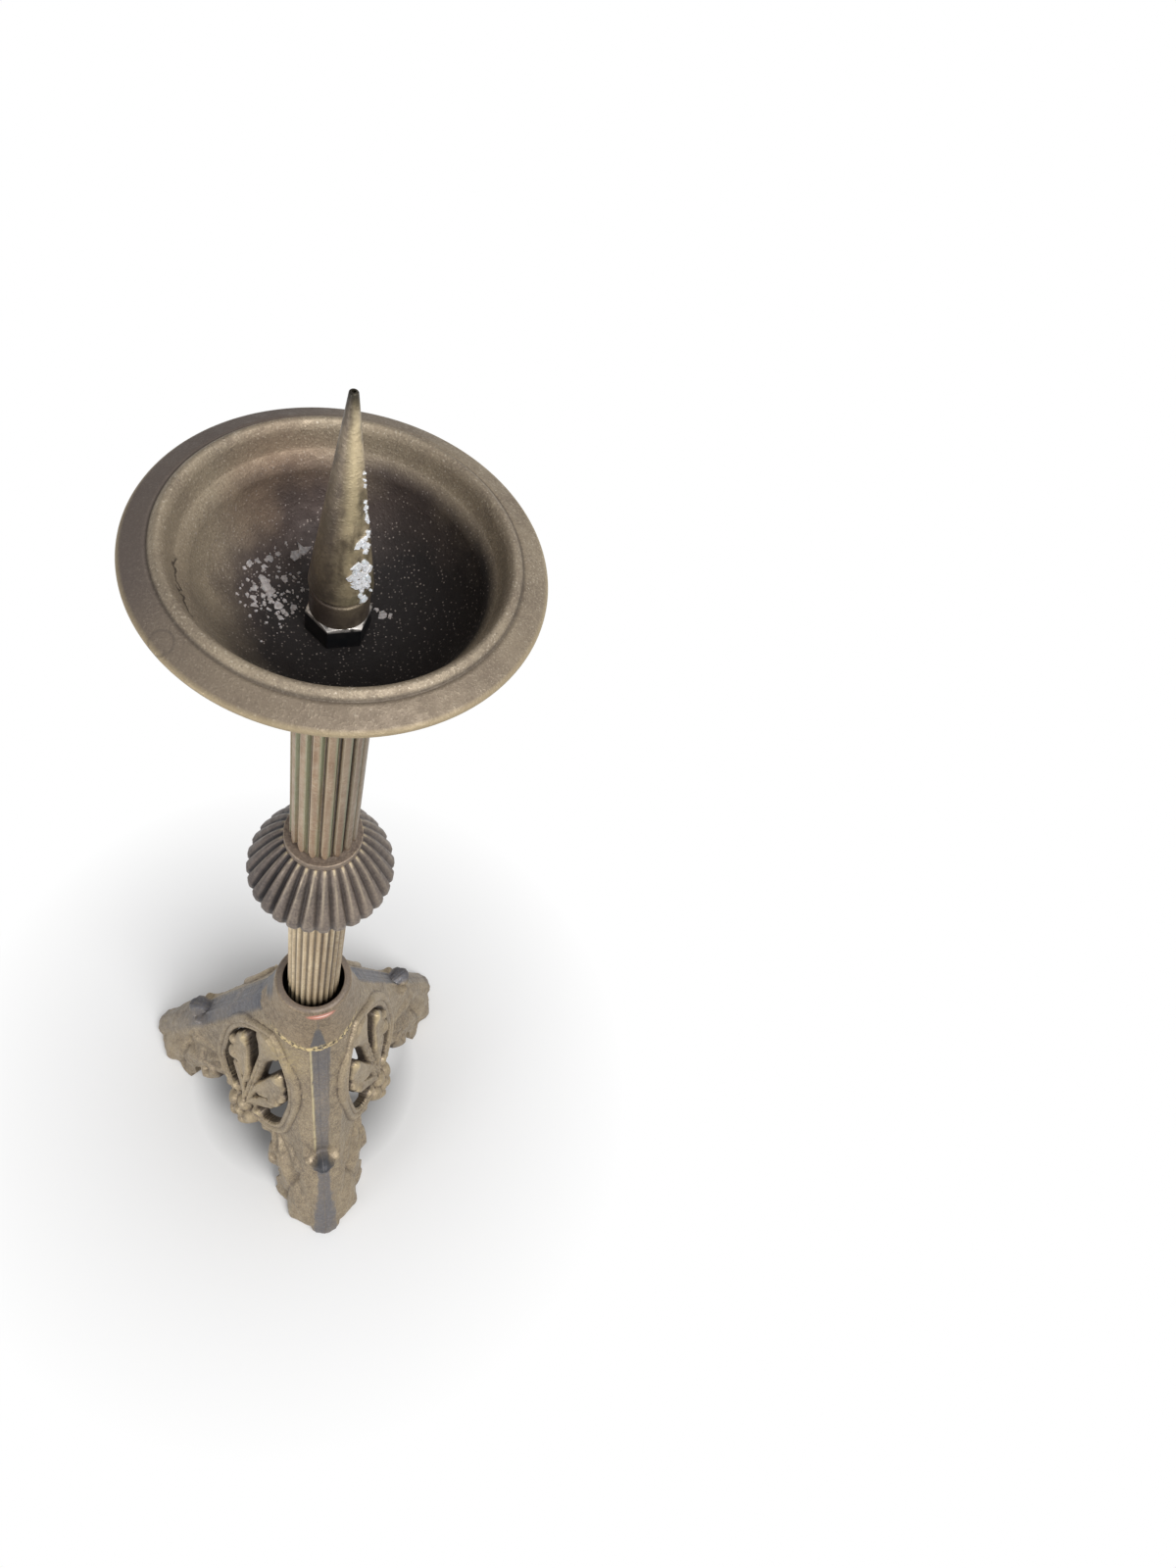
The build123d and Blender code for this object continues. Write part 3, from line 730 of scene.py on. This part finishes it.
def reeded_brass(name, gold, brown, pale, dirt, green, green_share, edge_highlight_share, right_shade, gutter):
    brass = aged_brass(name, gold, brown, pale)
    valley, across = brass.marked("valley"), brass.marked("across")
    drawn = 0.1
    brass.coat(brown, brass.clouds(260, 0.38, 0.62, tall=drawn), 0.75)
    brass.coat(pale, (valley, 0.14, 0.02), brass.clouds(180, 0.4, 0.6, tall=drawn), 0.4)
    brass.coat(green, (across, 0.2, 0.6), brass.clouds(110, 0.34, 0.52, tall=drawn), green_share)
    # painted highlight along one edge of each reed
    brass.coat(pale, (across, -0.4, -0.58), (valley, 0.6, 0.3), edge_highlight_share)
    # the grooves are painted darker
    brass.coat(dirt, (valley, 0.5, 0.95, 0, 0.9), (across, -0.5, -0.72, gutter, 1.0))
    # painted highlight on the stem's left side
    brass.coat(pale, (facing(brass, (-0.95, -0.3, 0)), 0.3, 0.95, 0, 0.12))
    # painted shade on the stem's right side
    brass.coat(dirt, (facing(brass, (0.94, -0.34, 0)), 0.1, 0.95, 0, right_shade))
    return brass


lower_stem = reeded_tube(lower_high.x, lower_ribs, lower_low.z, lower_high.z, (0,), narrow_reed)
lower_brass = reeded_brass(
    "lower_stem_brass", gold=tone(226, 204, 166), brown=tone(178, 154, 122), pale=tone(244, 230, 198),
    dirt=tone(80, 66, 52), green=tone(148, 130, 100),
    green_share=0.3, edge_highlight_share=0.6, right_shade=0.45, gutter=0.95
)
piece("reeded_stem", lower_stem, lower_brass, "tube_brass", "lower_stem")

# Knop rings
# Two turned brass washers close the knop above and below and centre the stems on the rod.
# Each has a thin raised edge, worn bright, round a brown trough that runs up to the stem.
ring = in_mm(bore=5.15, dish=0.4, edge=0.9, step=0.3, round=0.5)
upper_shell_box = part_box("knop_upper_shell")
lower_shell_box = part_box("knop_lower_shell")
upper_low, upper_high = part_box("upper_stem")


def knop_ring(radius, foot, crest):
    hand = math.copysign(1, crest - foot)
    profile = [
        (ring.bore, foot),
        (radius, foot),
        (radius, crest - hand * ring.step),
        (radius - ring.edge, crest - hand * ring.step),
        (stem_bore + 1 * mm, crest - hand * ring.dish),
        (stem_bore, crest),
        (ring.bore, crest),
    ]
    return turned(profile, dict.fromkeys((1, 2, 3), ring.round))


ring_brass = aged_brass("ring_brass", tone(134, 119, 107), tone(110, 97, 89), tone(160, 144, 127))
sharpness = ring_brass.node("NewGeometry").outputs["Pointiness"]
ring_brass.coat(tone(186, 168, 138), (sharpness, 0.515, 0.56, 0, 0.6))
# painted shade in the concave corners, where the ring meets the stem
ring_brass.coat(tone(74, 64, 58), (sharpness, 0.49, 0.45, 0, 0.5))
ring_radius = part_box("knop_top_ring")[1].x
lower_ring = knop_ring(ring_radius, lower_shell_box[0].z, lower_high.z)
upper_ring = knop_ring(ring_radius, upper_shell_box[1].z, upper_low.z)
piece("lower_ring", lower_ring, ring_brass, "turned_brass", "knop_bottom_ring")
piece("upper_ring", upper_ring, ring_brass, "turned_brass", "knop_top_ring")

# Knop shells
# The knop is two brass bowls with twenty-eight gadroons each, set mouth to mouth at the middle.
# The brass is browned all over and rubbed bright along the crests beside the ring, with painted highlights on
# the crests and arrises and painted shade in the valleys and on both sides.
gadroons = 28
gadroon_points = 12
knop_levels = 22
knop = in_mm(groove=2.1, neck=18.2, wall=1.4, rolled_edge=0.7)
rolled_share = 0.06


def knop_shell(middle, neck, crest):
    work = bmesh.new()
    rise = neck - middle
    verts = []
    for step in range(knop_levels + 1):
        t = step / knop_levels
        share = 1 - 0.86 * t ** 1.16 - 0.14 * t ** 6
        radius = knop.neck + (crest - knop.neck) * share
        verts.append(work.verts.new((radius, 0, middle + rise * t)))
    for first, second in zip(verts, verts[1:]):
        work.edges.new((first, second))
    spun(work, gadroons * gadroon_points)
    valley = work.verts.layers.float.new("valley")
    arris = work.verts.layers.float.new("arris")
    inward = work.verts.layers.float_vector.new("inward")
    for vert in work.verts:
        radius = vert.co.xy.length
        turn = (math.atan2(vert.co.y, vert.co.x) - front_turn) * gadroons / math.tau
        t = (vert.co.z - middle) / rise
        off_crest = turn - round(turn)
        flat_top = 0.1 + 0.3 * (1 - t)
        groove = fade(abs(off_crest) * 2, flat_top, 1)
        depth = knop.groove * groove * (0.8 + 0.2 * fade(t, 0, 0.3)) * (1 - 0.45 * fade(t, 0.6, 1))
        depth += knop.rolled_edge * fade(rolled_share - t, 0, rolled_share)
        vert.co.xy *= 1 - depth / radius
        vert[valley] = groove
        vert[arris] = swell(off_crest + flat_top * 0.45, 0.07)
    bmesh.ops.recalc_face_normals(work, faces=work.faces)
    lead = work.faces[:][0]
    if lead.normal.xy.dot(lead.calc_center_median().xy) < 0:
        bmesh.ops.reverse_faces(work, faces=work.faces)
    work.normal_update()
    for vert in work.verts:
        vert[inward] = Vector((vert.normal.x, vert.normal.y, 0)) * -knop.wall
    thicken(work, inward)
    return work


brass = aged_brass("knop_brass", tone(128, 115, 105), tone(98, 89, 84), tone(152, 138, 123))
valley, arris, reach = brass.marked("valley"), brass.marked("arris"), brass.from_axis()
# painted shade in the gadroon valleys
brass.coat(tone(58, 51, 49), (valley, 0.3, 0.95, 0, 0.75))
# the crests beside the ring are rubbed bright, with a painted highlight on them
brass.coat(tone(214, 196, 160), (reach, 20.4 * mm, 18.4 * mm), (valley, 0.2, 0.02), 0.9)
# painted highlight along one arris of each gadroon
highlight_breakup = brass.times(brass.clouds(90, 0.36, 0.6, 0.2, 0.85), (reach, 35 * mm, 24 * mm, 0.25, 1))
brass.coat(tone(190, 175, 152), arris, highlight_breakup)
# painted shade on the left side, deepest in the valleys
shaded = facing(brass, (-0.95, 0.3, 0))
brass.coat(tone(58, 51, 53), (shaded, 0.1, 0.8, 0, 0.52))
brass.coat(tone(28, 25, 27), (shaded, -0.1, 0.6), (valley, 0.35, 0.8, 0, 0.85))
# painted shade on the right side
brass.coat(tone(66, 58, 54), (facing(brass, (0.98, 0.2, 0)), 0.3, 0.95, 0, 0.32))
knop_middle = upper_shell_box[0].z
knop_crest = upper_shell_box[1].x
lower_shell = knop_shell(knop_middle, lower_shell_box[0].z, knop_crest)
upper_shell = knop_shell(knop_middle, upper_shell_box[1].z, knop_crest)
piece("lower_gadroons", lower_shell, brass, "cast_brass", "knop_lower_shell")
piece("upper_gadroons", upper_shell, brass, "cast_brass", "knop_upper_shell")

# Upper stem
# A wider drawn tube with sixteen flat slats stands in the upper ring and carries the pan.
# The slats end in round tongues just above the ring, and green patina lines the channels between them.
upper_ribs = 16
slat_share = 0.7
slat = in_mm(depth=1.7, crown=0.2, tongue_foot=1, tongue=7)
slat_levels = [0.4 * mm * step for step in range(31)]


def flat_slat(off_crest, z):
    grown = max(0.0, min(1.0, (z - upper_low.z - slat.tongue_foot) / slat.tongue))
    half_width = slat_share * math.sqrt(1 - (1 - grown) ** 2)
    channel = fade(off_crest, half_width - 0.08, half_width + 0.08) if grown > 0 else 1.0
    crown = slat.crown * off_crest ** 2
    return crown + (slat.depth - crown) * channel, channel


upper_stem = reeded_tube(upper_high.x, upper_ribs, upper_low.z, upper_high.z, slat_levels, flat_slat)
upper_brass = reeded_brass(
    "upper_stem_brass", gold=tone(160, 130, 101), brown=tone(132, 103, 79), pale=tone(196, 180, 156),
    dirt=tone(62, 57, 50), green=tone(136, 146, 118),
    green_share=0.85, edge_highlight_share=0.75, right_shade=0.5, gutter=0.3
)
piece("broad_reeded_stem", upper_stem, upper_brass, "tube_brass", "upper_stem")

# Pan socket
# A turned brass plug drops into the upper stem and spreads the pan's weight on its rim.
# It hides under the bowl, so only its plain round edge shows from the side.
socket_low, socket_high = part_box("pan_socket")
plug = in_mm(spigot=12.4, spigot_round=0.8, rim_round=1.2)
shank_bore = 6.15 * mm
socket = turned(
    [
        (ring.bore, socket_low.z),
        (plug.spigot, socket_low.z),
        (plug.spigot, upper_high.z),
        (socket_high.x, upper_high.z),
        (socket_high.x, socket_high.z),
        (shank_bore, socket_high.z),
        (shank_bore, upper_high.z),
        (ring.bore, upper_high.z),
    ],
    {1: plug.spigot_round, 3: plug.rim_round, 4: plug.rim_round},
)
piece("plug", socket, ring_brass, "turned_brass", "pan_socket")

# Drip pan
# A spun brass dish: a flat seat, a round bowl, a soft ledge, a beaded lip and a flange with a rolled edge.
# It is one sheet, browned and speckled, sooty in the bowl with painted shade on its front right, with a
# hairline crack and a round tool mark; its groove carries painted shade, its rolled edge and back wall painted
# highlights.
pan_low, pan_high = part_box("drip_pan")
pan_radius = pan_high.x
pan_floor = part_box("lock_nut")[0].z
pan_wall = pan_floor - pan_low.z
pan_rim = pan_floor + 33 * mm
pan_steps = 240
seat_radius = 13 * mm
ledge = (45.4 * mm, pan_rim - 6 * mm)
bowl_rise = ledge[1] - pan_floor
bowl_arc = ((ledge[0] - seat_radius) ** 2 + bowl_rise ** 2) / (2 * bowl_rise)
bowl_turn = math.asin((ledge[0] - seat_radius) / bowl_arc)
bowl_steps = 20


def bowl_curve(gap):
    for step in range(1, bowl_steps + 1):
        turn = bowl_turn * step / bowl_steps
        reach = bowl_arc + gap
        yield seat_radius + reach * math.sin(turn), pan_floor + bowl_arc - reach * math.cos(turn)


def above_rim(*rows):
    return [(radius * mm, pan_rim + up * mm) for radius, up in rows]


inside = [
    (seat_radius, pan_floor),
    *bowl_curve(0),
    *above_rim((49.2, -1.4), (51, 5.4), (53.2, 7.6), (55.4, 5.4), (56, 4.5), (57, 4.7)),
    (pan_radius - 1.1 * mm, pan_rim + 1.5 * mm),
    (pan_radius, pan_rim),
    (pan_radius - 1.2 * mm, pan_rim - 1.6 * mm),
]
outside = [
    (seat_radius, pan_low.z),
    *bowl_curve(pan_wall),
    *above_rim((52, -3), (54, 2.8), (56.4, 2.2)),
]
pan_profile = [(shank_bore, pan_low.z), (shank_bore, pan_floor)] + inside + outside[::-1]
ledge_index = 2 + bowl_steps
pan_rounds = {0: 5, 1: 3, 2: 1.6, 3: 1.4, 4: 0.6, 5: 0.4, 6: 0.5, 7: 0.8, 8: 0.9, 9: 0.8}
pan = turned(pan_profile, {ledge_index + index: size * mm for index, size in pan_rounds.items()}, pan_steps)

pan.normal_update()
inside_mark = pan.verts.layers.float.new("inside")
for vert in pan.verts:
    vert[inside_mark] = fade(vert.normal.z, -0.1, 0.1)

soot_and_shade_place = (11 * mm, -11 * mm, 0)
smoke_place = (6 * mm, 8 * mm, 0)
copper_sheen_place = (-12 * mm, 38 * mm, pan_rim - 12 * mm)
tool_place = (-53.5 * mm, -30.6 * mm, pan_rim + 1.9 * mm)
crack_radius = 48.6 * mm
crack_place = (-crack_radius, -8 * mm, 0)
brass = aged_brass(
    "pan_brass", tone(156, 142, 122), tone(130, 117, 102), tone(174, 160, 138),
    dull=0.66, polished=0.5, gritty=0.25, grit_scale=1500
)
reach, upper = brass.from_axis(), brass.marked("inside")
brass.coat(tone(204, 194, 178), brass.clouds(1500, 0.64, 0.74, detail=1.0), 0.6)
brass.coat(tone(92, 82, 72), brass.clouds(1100, 0.36, 0.26, detail=1.0), 0.45)
flange = brass.level(reach, 55.4 * mm, 56.2 * mm)
shade_side = brass.measure("DOT_PRODUCT", brass.point, (-0.8, 0.6, 0))
brass.coat(tone(98, 88, 84), flange, (shade_side, -8 * mm, 46 * mm), 0.85)
brass.coat(tone(116, 103, 89), flange, (brass.xyz()[1], -10 * mm, -50 * mm, 0, 0.6))
# painted shade in the groove between the lip and the flange
groove = brass.times((reach, 55 * mm, 55.7 * mm), (reach, 56.6 * mm, 56 * mm))
brass.coat(tone(66, 58, 52), groove, 0.6)
# painted highlight along the rolled outer edge
brass.coat(tone(186, 168, 132), (reach, pan_radius - 1.8 * mm, pan_radius - 0.6 * mm), 0.5)
# a copper tint with a painted sheen on the upper back wall of the bowl
copper = brass.level(brass.from_spot(copper_sheen_place), 26 * mm, 10 * mm, 0, 0.4)
brass.coat(tone(164, 130, 104), copper, upper)
drift = brass.clouds(45, 0.3, 0.7, -5 * mm, 5 * mm)
in_bowl = brass.times(upper, (reach, 49 * mm, 46 * mm))
smoke = brass.math("ADD", brass.from_spot(smoke_place, tall=0), drift)
brass.coat(tone(82, 70, 68), (smoke, 47 * mm, 33 * mm), in_bowl, 0.92)
# soot in the bowl, shifted to the front right as painted shade
soot_and_shade = brass.math("ADD", brass.from_spot(soot_and_shade_place, tall=0), drift)
brass.coat(tone(33, 30, 30), (soot_and_shade, 56 * mm, 34 * mm), in_bowl, 0.96)
specks = brass.node("TexVoronoi", {"Vector": brass.point, "Scale": 860}).outputs
chosen = brass.node("SeparateColor", {0: specks["Color"]}).outputs[0]
dots = brass.times((specks["Distance"], 0.3, 0.16), (chosen, 0.35, 0.45))
brass.coat(tone(176, 164, 156), dots, (chosen, 0.4, 1, 0.08, 0.7), in_bowl)
from_tool = brass.from_spot(tool_place)
tool_ring = brass.times((from_tool, 4.4 * mm, 4 * mm), (from_tool, 3.3 * mm, 3.7 * mm))
brass.coat(tone(84, 76, 70), tool_ring, 0.35)
wander = brass.math("ADD", reach, brass.clouds(200, 0.3, 0.7, -1.2 * mm, 1.2 * mm))
from_crack = brass.math("ABSOLUTE", brass.math("SUBTRACT", wander, crack_radius))
crack_end = brass.level(brass.from_spot(crack_place, tall=0), 13 * mm, 11 * mm)
brass.coat(tone(48, 42, 38), (from_crack, 0.4 * mm, 0.15 * mm), crack_end, upper, 0.8)
piece("pan", pan, brass, "spun_brass", "drip_pan")

# Lock nut
# A black steel hexagon nut on the spike's shank clamps the pan to its socket.
# Its corners are turned to a chamfer, which has been rubbed back to bright steel.
nut_low, nut_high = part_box("lock_nut")
nut_flats = 19 * mm
nut_turn = math.radians(3)
nut_corner = nut_flats / 2 / math.cos(math.radians(30))
nut_chamfer_radius = nut_flats / 2 * 0.96
nut_chamfer_drop = 1.3 * mm
nut_points = 120


def hexagon(turn):
    sixth = math.radians(60)
    return nut_flats / 2 / math.cos((turn - nut_turn) % sixth - sixth / 2)


nut = turned(
    [
        (shank_bore, nut_low.z),
        (nut_corner, nut_low.z),
        (nut_corner, nut_high.z - nut_chamfer_drop),
        (nut_chamfer_radius, nut_high.z),
        (shank_bore, nut_high.z),
    ],
    {},
    steps=nut_points,
)
for vert in nut.verts:
    if vert.co.xy.length > nut_chamfer_radius + 0.1 * mm:
        flat = hexagon(math.atan2(vert.co.y, vert.co.x))
        if vert.co.z > nut_low.z + 1 * mm:
            share = (nut_corner - flat) / (nut_corner - nut_chamfer_radius)
            vert.co.z += nut_chamfer_drop * share
        vert.co.xy = vert.co.xy.normalized() * flat
bmesh.ops.recalc_face_normals(nut, faces=nut.faces)

nut_steel = Paint(bpy.data.materials.new("nut_steel"), tone(24, 26, 30))
nut_steel.coat(tone(44, 42, 42), nut_steel.clouds(180, 0.4, 0.7))
top_edge = nut_steel.level(nut_steel.xyz()[2], nut_high.z - 2.2 * mm, nut_high.z - 1.4 * mm)
rim = nut_steel.level(nut_steel.from_axis(), nut_chamfer_radius - 0.5 * mm, nut_chamfer_radius)
bare = nut_steel.times(top_edge, rim, nut_steel.clouds(500, 0.3, 0.5))
nut_steel.coat(tone(206, 200, 194), bare)
nut_steel.surface({"Metallic": 0.6, "Roughness": nut_steel.level(bare, 0, 1, 0.46, 0.32)})
piece("hex_nut", nut, nut_steel, "dark_steel", "lock_nut")

# Pricket spike
# A turned brass cone on a short foot holds the candle, and its shank screws down into the socket.
# The tip is blunt and black; the cone carries a painted highlight towards the front, painted shade on its left
# and right sides and in the groove, and is painted darker towards the foot.
shank_low, spike_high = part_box("pricket_spike")
pricket = in_mm(shank=6, foot=9.7, cone=10.4, groove_slope=0.3, tip=1.3, hole=0.6)
spike_low = nut_high.z
spike_foot = spike_low + 10 * mm
spike_groove = spike_foot + 1.8 * mm
spike_groove_radius = pricket.foot - 0.9 * mm
spike_hole = spike_high.z - 2 * mm
spike = turned(
    [
        (0, shank_low.z),
        (pricket.shank, shank_low.z),
        (pricket.shank, spike_low),
        (pricket.foot, spike_low),
        (pricket.foot, spike_foot),
        (spike_groove_radius, spike_foot + pricket.groove_slope),
        (spike_groove_radius, spike_groove - pricket.groove_slope),
        (pricket.cone, spike_groove),
        (pricket.tip, spike_high.z),
        (pricket.hole, spike_high.z),
        (pricket.hole, spike_hole),
        (0, spike_hole),
    ],
    {4: 0.6 * mm, 7: 1.2 * mm, 8: 0.5 * mm},
)
brass = aged_brass("spike_brass", tone(196, 178, 146), tone(150, 134, 108), tone(222, 206, 174), polished=0.34)
height = brass.xyz()[2]
brass.coat(tone(96, 85, 72), brass.clouds(150, 0.44, 0.58, detail=6.0), 0.6)
brass.coat(tone(112, 116, 84), brass.clouds(75, 0.54, 0.68, 0, 0.35))
streak = brass.grain(190, 5.0, tall=0.3)
brass.coat(tone(92, 82, 62), (streak, 0.52, 0.66, 0, 0.6))
# painted highlight on the side facing the front
glint = brass.level(facing(brass, (0.2, -0.98, 0)), 0.75, 0.98)
brass.coat(tone(226, 208, 166), glint, (streak, 0.6, 0.44), 0.5)
facing_left = facing(brass, (-0.95, -0.2, 0))
# painted shade on the left side
brass.coat(tone(90, 80, 74), (facing_left, 0.1, 0.75, 0, 0.75))
# painted shade on the right side
brass.coat(tone(86, 80, 62), (facing_left, -0.75, -1.0, 0, 0.6))
brass.coat(tone(38, 34, 28), (height, spike_high.z - 9 * mm, spike_high.z - 1 * mm, 0, 0.9))
# painted darker towards the foot
brass.coat(tone(88, 78, 72), (height, spike_groove + 14 * mm, spike_groove - 6 * mm, 0, 0.5))
# painted shade in the groove at the foot
brass.coat(tone(72, 61, 57), (height, spike_groove + 0.4 * mm, spike_groove - 1 * mm, 0, 0.6))
piece("spike", spike, brass, "turned_brass", "pricket_spike")

# Candle wax
# Old wax has dried and cracked into thin white flakes in the bowl, and a crust of it holds to the spike.
# It lies where candles burned down, on the left of the bowl and on the spike's right side.
flake_draw = random.Random(11)
bowl_flakes = (
    (-28.2, 18.7, 1.0), (-26.4, 20.6, 1.3), (-23.8, 22.5, 1.5), (-21.6, 21.4, 1.3), (-19.6, 24.2, 1.7),
    (-16.9, 26.3, 1.4), (-8.5, 28.1, 3.0), (-10.8, 26.2, 2.2), (-15.5, 18.6, 1.5), (-22.6, 17.0, 2.0),
    (-21.6, 14.2, 2.2), (-20.7, 12.6, 2.0), (-23.2, 11.0, 1.3), (-25.4, 13.3, 1.3), (-18.4, 8.5, 2.0),
    (-18.6, 3.5, 1.7), (-17.2, 5.8, 1.1), (-26.3, 9.5, 1.5), (-26.2, 6.8, 1.4), (-13.4, 7.7, 1.6),
    (15.1, 3.0, 1.8), (17.6, 2.2, 1.3), (13.6, 5.4, 1.0),
)
flake_thickness = 0.35 * mm
crumbs = 120
crumb_thickness = 0.3 * mm
crust_patches = (
    (-55, 610.5, 24, 5, 64, 1.9),
    (-50, 624, 12, 2.2, 14, 1.5),
    (-36, 632, 3, 4.4, 12, 0.8),
    (-34, 645, 3, 4, 4, 0.6),
)
wax = bmesh.new()


def flake(spot, normal, size, thick):
    lean = normal.to_track_quat("Z", "Y").to_matrix().to_4x4()
    spin = Matrix.Rotation(flake_draw.uniform(0, math.tau), 4, "Z")
    tilt = Matrix.Rotation(flake_draw.gauss(0, 0.12), 4, "X")
    place = Matrix.Translation(spot) @ lean @ tilt @ spin
    sides = flake_draw.randint(6, 9)
    chip = bmesh.ops.create_circle(wax, cap_ends=True, segments=sides, radius=size, matrix=place)
    for vert in chip["verts"]:
        vert.co += (vert.co - spot) * flake_draw.uniform(-0.55, 0.25)
    under = chip["verts"][0].link_faces[0]
    for part in bmesh.ops.extrude_face_region(wax, geom=[under], use_keep_orig=True)["geom"]:
        if isinstance(part, bmesh.types.BMVert):
            drawn_in = (spot - part.co) * flake_draw.uniform(0, 0.35)
            part.co += drawn_in + normal * thick * flake_draw.uniform(0.7, 1.3)


def on_bowl(x, y):
    reach = math.hypot(x, y)
    if reach <= seat_radius:
        return Vector((x, y, pan_floor)), Vector((0, 0, 1))
    out = reach - seat_radius
    drop = math.sqrt(bowl_arc ** 2 - out ** 2)
    spot = Vector((x, y, pan_floor + bowl_arc - drop))
    return spot, Vector((-x / reach * out, -y / reach * out, drop)).normalized()


def on_spike(turn, z):
    cone_height = spike_high.z - spike_groove
    taper = pricket.tip - pricket.cone
    radius = pricket.cone + taper * ((z - spike_groove) / cone_height)
    normal = Vector((math.cos(turn), math.sin(turn), -taper / cone_height))
    return Vector((radius * math.cos(turn), radius * math.sin(turn), z)), normal.normalized()


for x, y, size in bowl_flakes:
    flake(*on_bowl(x * mm, y * mm), size * mm * 0.95, flake_thickness)
for number in range(crumbs):
    turn = math.radians(flake_draw.gauss(148, 20))
    reach = flake_draw.uniform(15, 33) * mm
    spot = on_bowl(reach * math.cos(turn), reach * math.sin(turn))
    flake(*spot, flake_draw.uniform(0.25, 0.85) * mm, crumb_thickness)
for middle, z, spread, rise, count, largest in crust_patches:
    for number in range(count):
        turn = math.radians(middle + flake_draw.gauss(0, spread / 1.5))
        spot = on_spike(turn, (z + flake_draw.gauss(0, rise / 1.6)) * mm)
        flake(*spot, flake_draw.uniform(0.6, largest) * mm, flake_draw.uniform(0.3, 0.9) * mm)
bmesh.ops.recalc_face_normals(wax, faces=wax.faces)

dry_wax = Paint(bpy.data.materials.new("dry_wax"), tone(150, 140, 136))
dusty = dry_wax.clouds(900, 0.35, 0.65)
crusted = dry_wax.blend(dusty, tone(226, 224, 224), tone(246, 246, 248))
dry_wax.coat(tone(192, 183, 180), dusty)
dry_wax.coat(crusted, (dry_wax.from_axis(), 11.5 * mm, 11 * mm))
dry_wax.surface({"Roughness": 0.42, "Subsurface Weight": 0.15, "Normal": dry_wax.bump(dusty, 0.4, 0.3 * mm)})
piece("wax_flakes", wax, dry_wax, None)

# Floor, light and camera
# A white sweep under the stand, with painted shade under the base and a painted pool of light by its right
# side, a broad soft lamp from the front right and the room's even light.
# The camera looks down on the pan from close by, as the photograph does.
floor_half = 40.0
floor_work = bmesh.new()
bmesh.ops.create_grid(floor_work, x_segments=1, y_segments=1, size=floor_half)


def seen_or_mirrored(paint, path):
    seen = paint.math("MAXIMUM", path["Is Camera Ray"], path["Is Glossy Ray"])
    return paint.math("MAXIMUM", seen, path["Is Transmission Ray"])


floor_paint = Paint(bpy.data.materials.new("floor_paint"))
floor_nodes = floor_paint.tree.nodes
floor_nodes.remove(floor_nodes["Principled BSDF"])
seen = seen_or_mirrored(floor_paint, floor_paint.node("LightPath").outputs)
from_stand = floor_paint.from_axis()
open_floor = floor_paint.level(from_stand, 90 * mm, 260 * mm, 0.07, 1)
# painted pool of light on the floor under the base's right side
painted_light_patch = floor_paint.level(floor_paint.from_spot((38 * mm, 14 * mm, 0)), 42 * mm, 22 * mm, 0, 0.6)
white_share = floor_paint.times(seen, floor_paint.math("MAXIMUM", open_floor, painted_light_patch))
# painted shade: the floor under the base is darker
painted_shade_under_base = floor_paint.level(from_stand, 45 * mm, 85 * mm)
matt = floor_paint.node("BsdfDiffuse", {
    "Color": floor_paint.blend(painted_shade_under_base, tone(120, 118, 116), tone(242, 242, 242))
}).outputs[0]
white = floor_paint.node("Emission", {"Color": (1, 1, 1, 1), "Strength": 1.0}).outputs[0]
mixed = floor_paint.node("MixShader", {0: white_share, 1: matt, 2: white}).outputs[0]
floor_paint.join(floor_nodes["Material Output"], {0: mixed})
floor = placed("floor", mesh_from("floor", floor_work, floor_paint))

world = bpy.data.worlds.new("studio")
bpy.context.scene.world = world
room = Paint(world)
path = room.node("LightPath").outputs
bright_side = room.measure("DOT_PRODUCT", room.coordinates["Generated"], (0.4, -0.5, 0.77))
dimmed = room.times(path["Is Glossy Ray"], (bright_side, -0.5, 0.9, 0.75, 0.0))
strength = room.math("SUBTRACT", room.level(seen_or_mirrored(room, path), 0, 1, 0.4, 1.0), dimmed)
room.join(room.tree.nodes["Background"], {"Strength": strength, "Color": (1, 1, 1, 1)})

stand_middle = Vector((0, 0, 0.4))


def soft_lamp(name, place, size, watts):
    lamp = bpy.data.lights.new(name, "AREA")
    lamp.shape = "DISK"
    lamp.size = size
    lamp.energy = watts
    holder = placed(name, lamp)
    holder.location = place
    holder.rotation_euler = (stand_middle - Vector(place)).to_track_quat("-Z", "Y").to_euler()


soft_lamp("front_right_lamp", (0.5, -1.1, 1.9), 1.0, 27)
soft_lamp("low_left_lamp", (-1.45, -0.85, 0.42), 0.7, 8)

camera = bpy.data.cameras.new("camera")
camera.sensor_width = 36
camera.lens = 24.47
camera_holder = placed("camera", camera)
camera_place = Matrix.Translation((-40.3 * mm, -221.8 * mm, 870.2 * mm))
right = Vector((0.9429, -0.2320, 0.2391))
up = Vector((0.0900, 0.8685, 0.4875))
back = Vector((-0.3208, -0.4382, 0.8397))
camera_holder.matrix_world = camera_place @ Matrix((right, up, back)).transposed().to_4x4()
bpy.context.scene.camera = camera_holder
bpy.context.scene.view_settings.view_transform = "Standard"
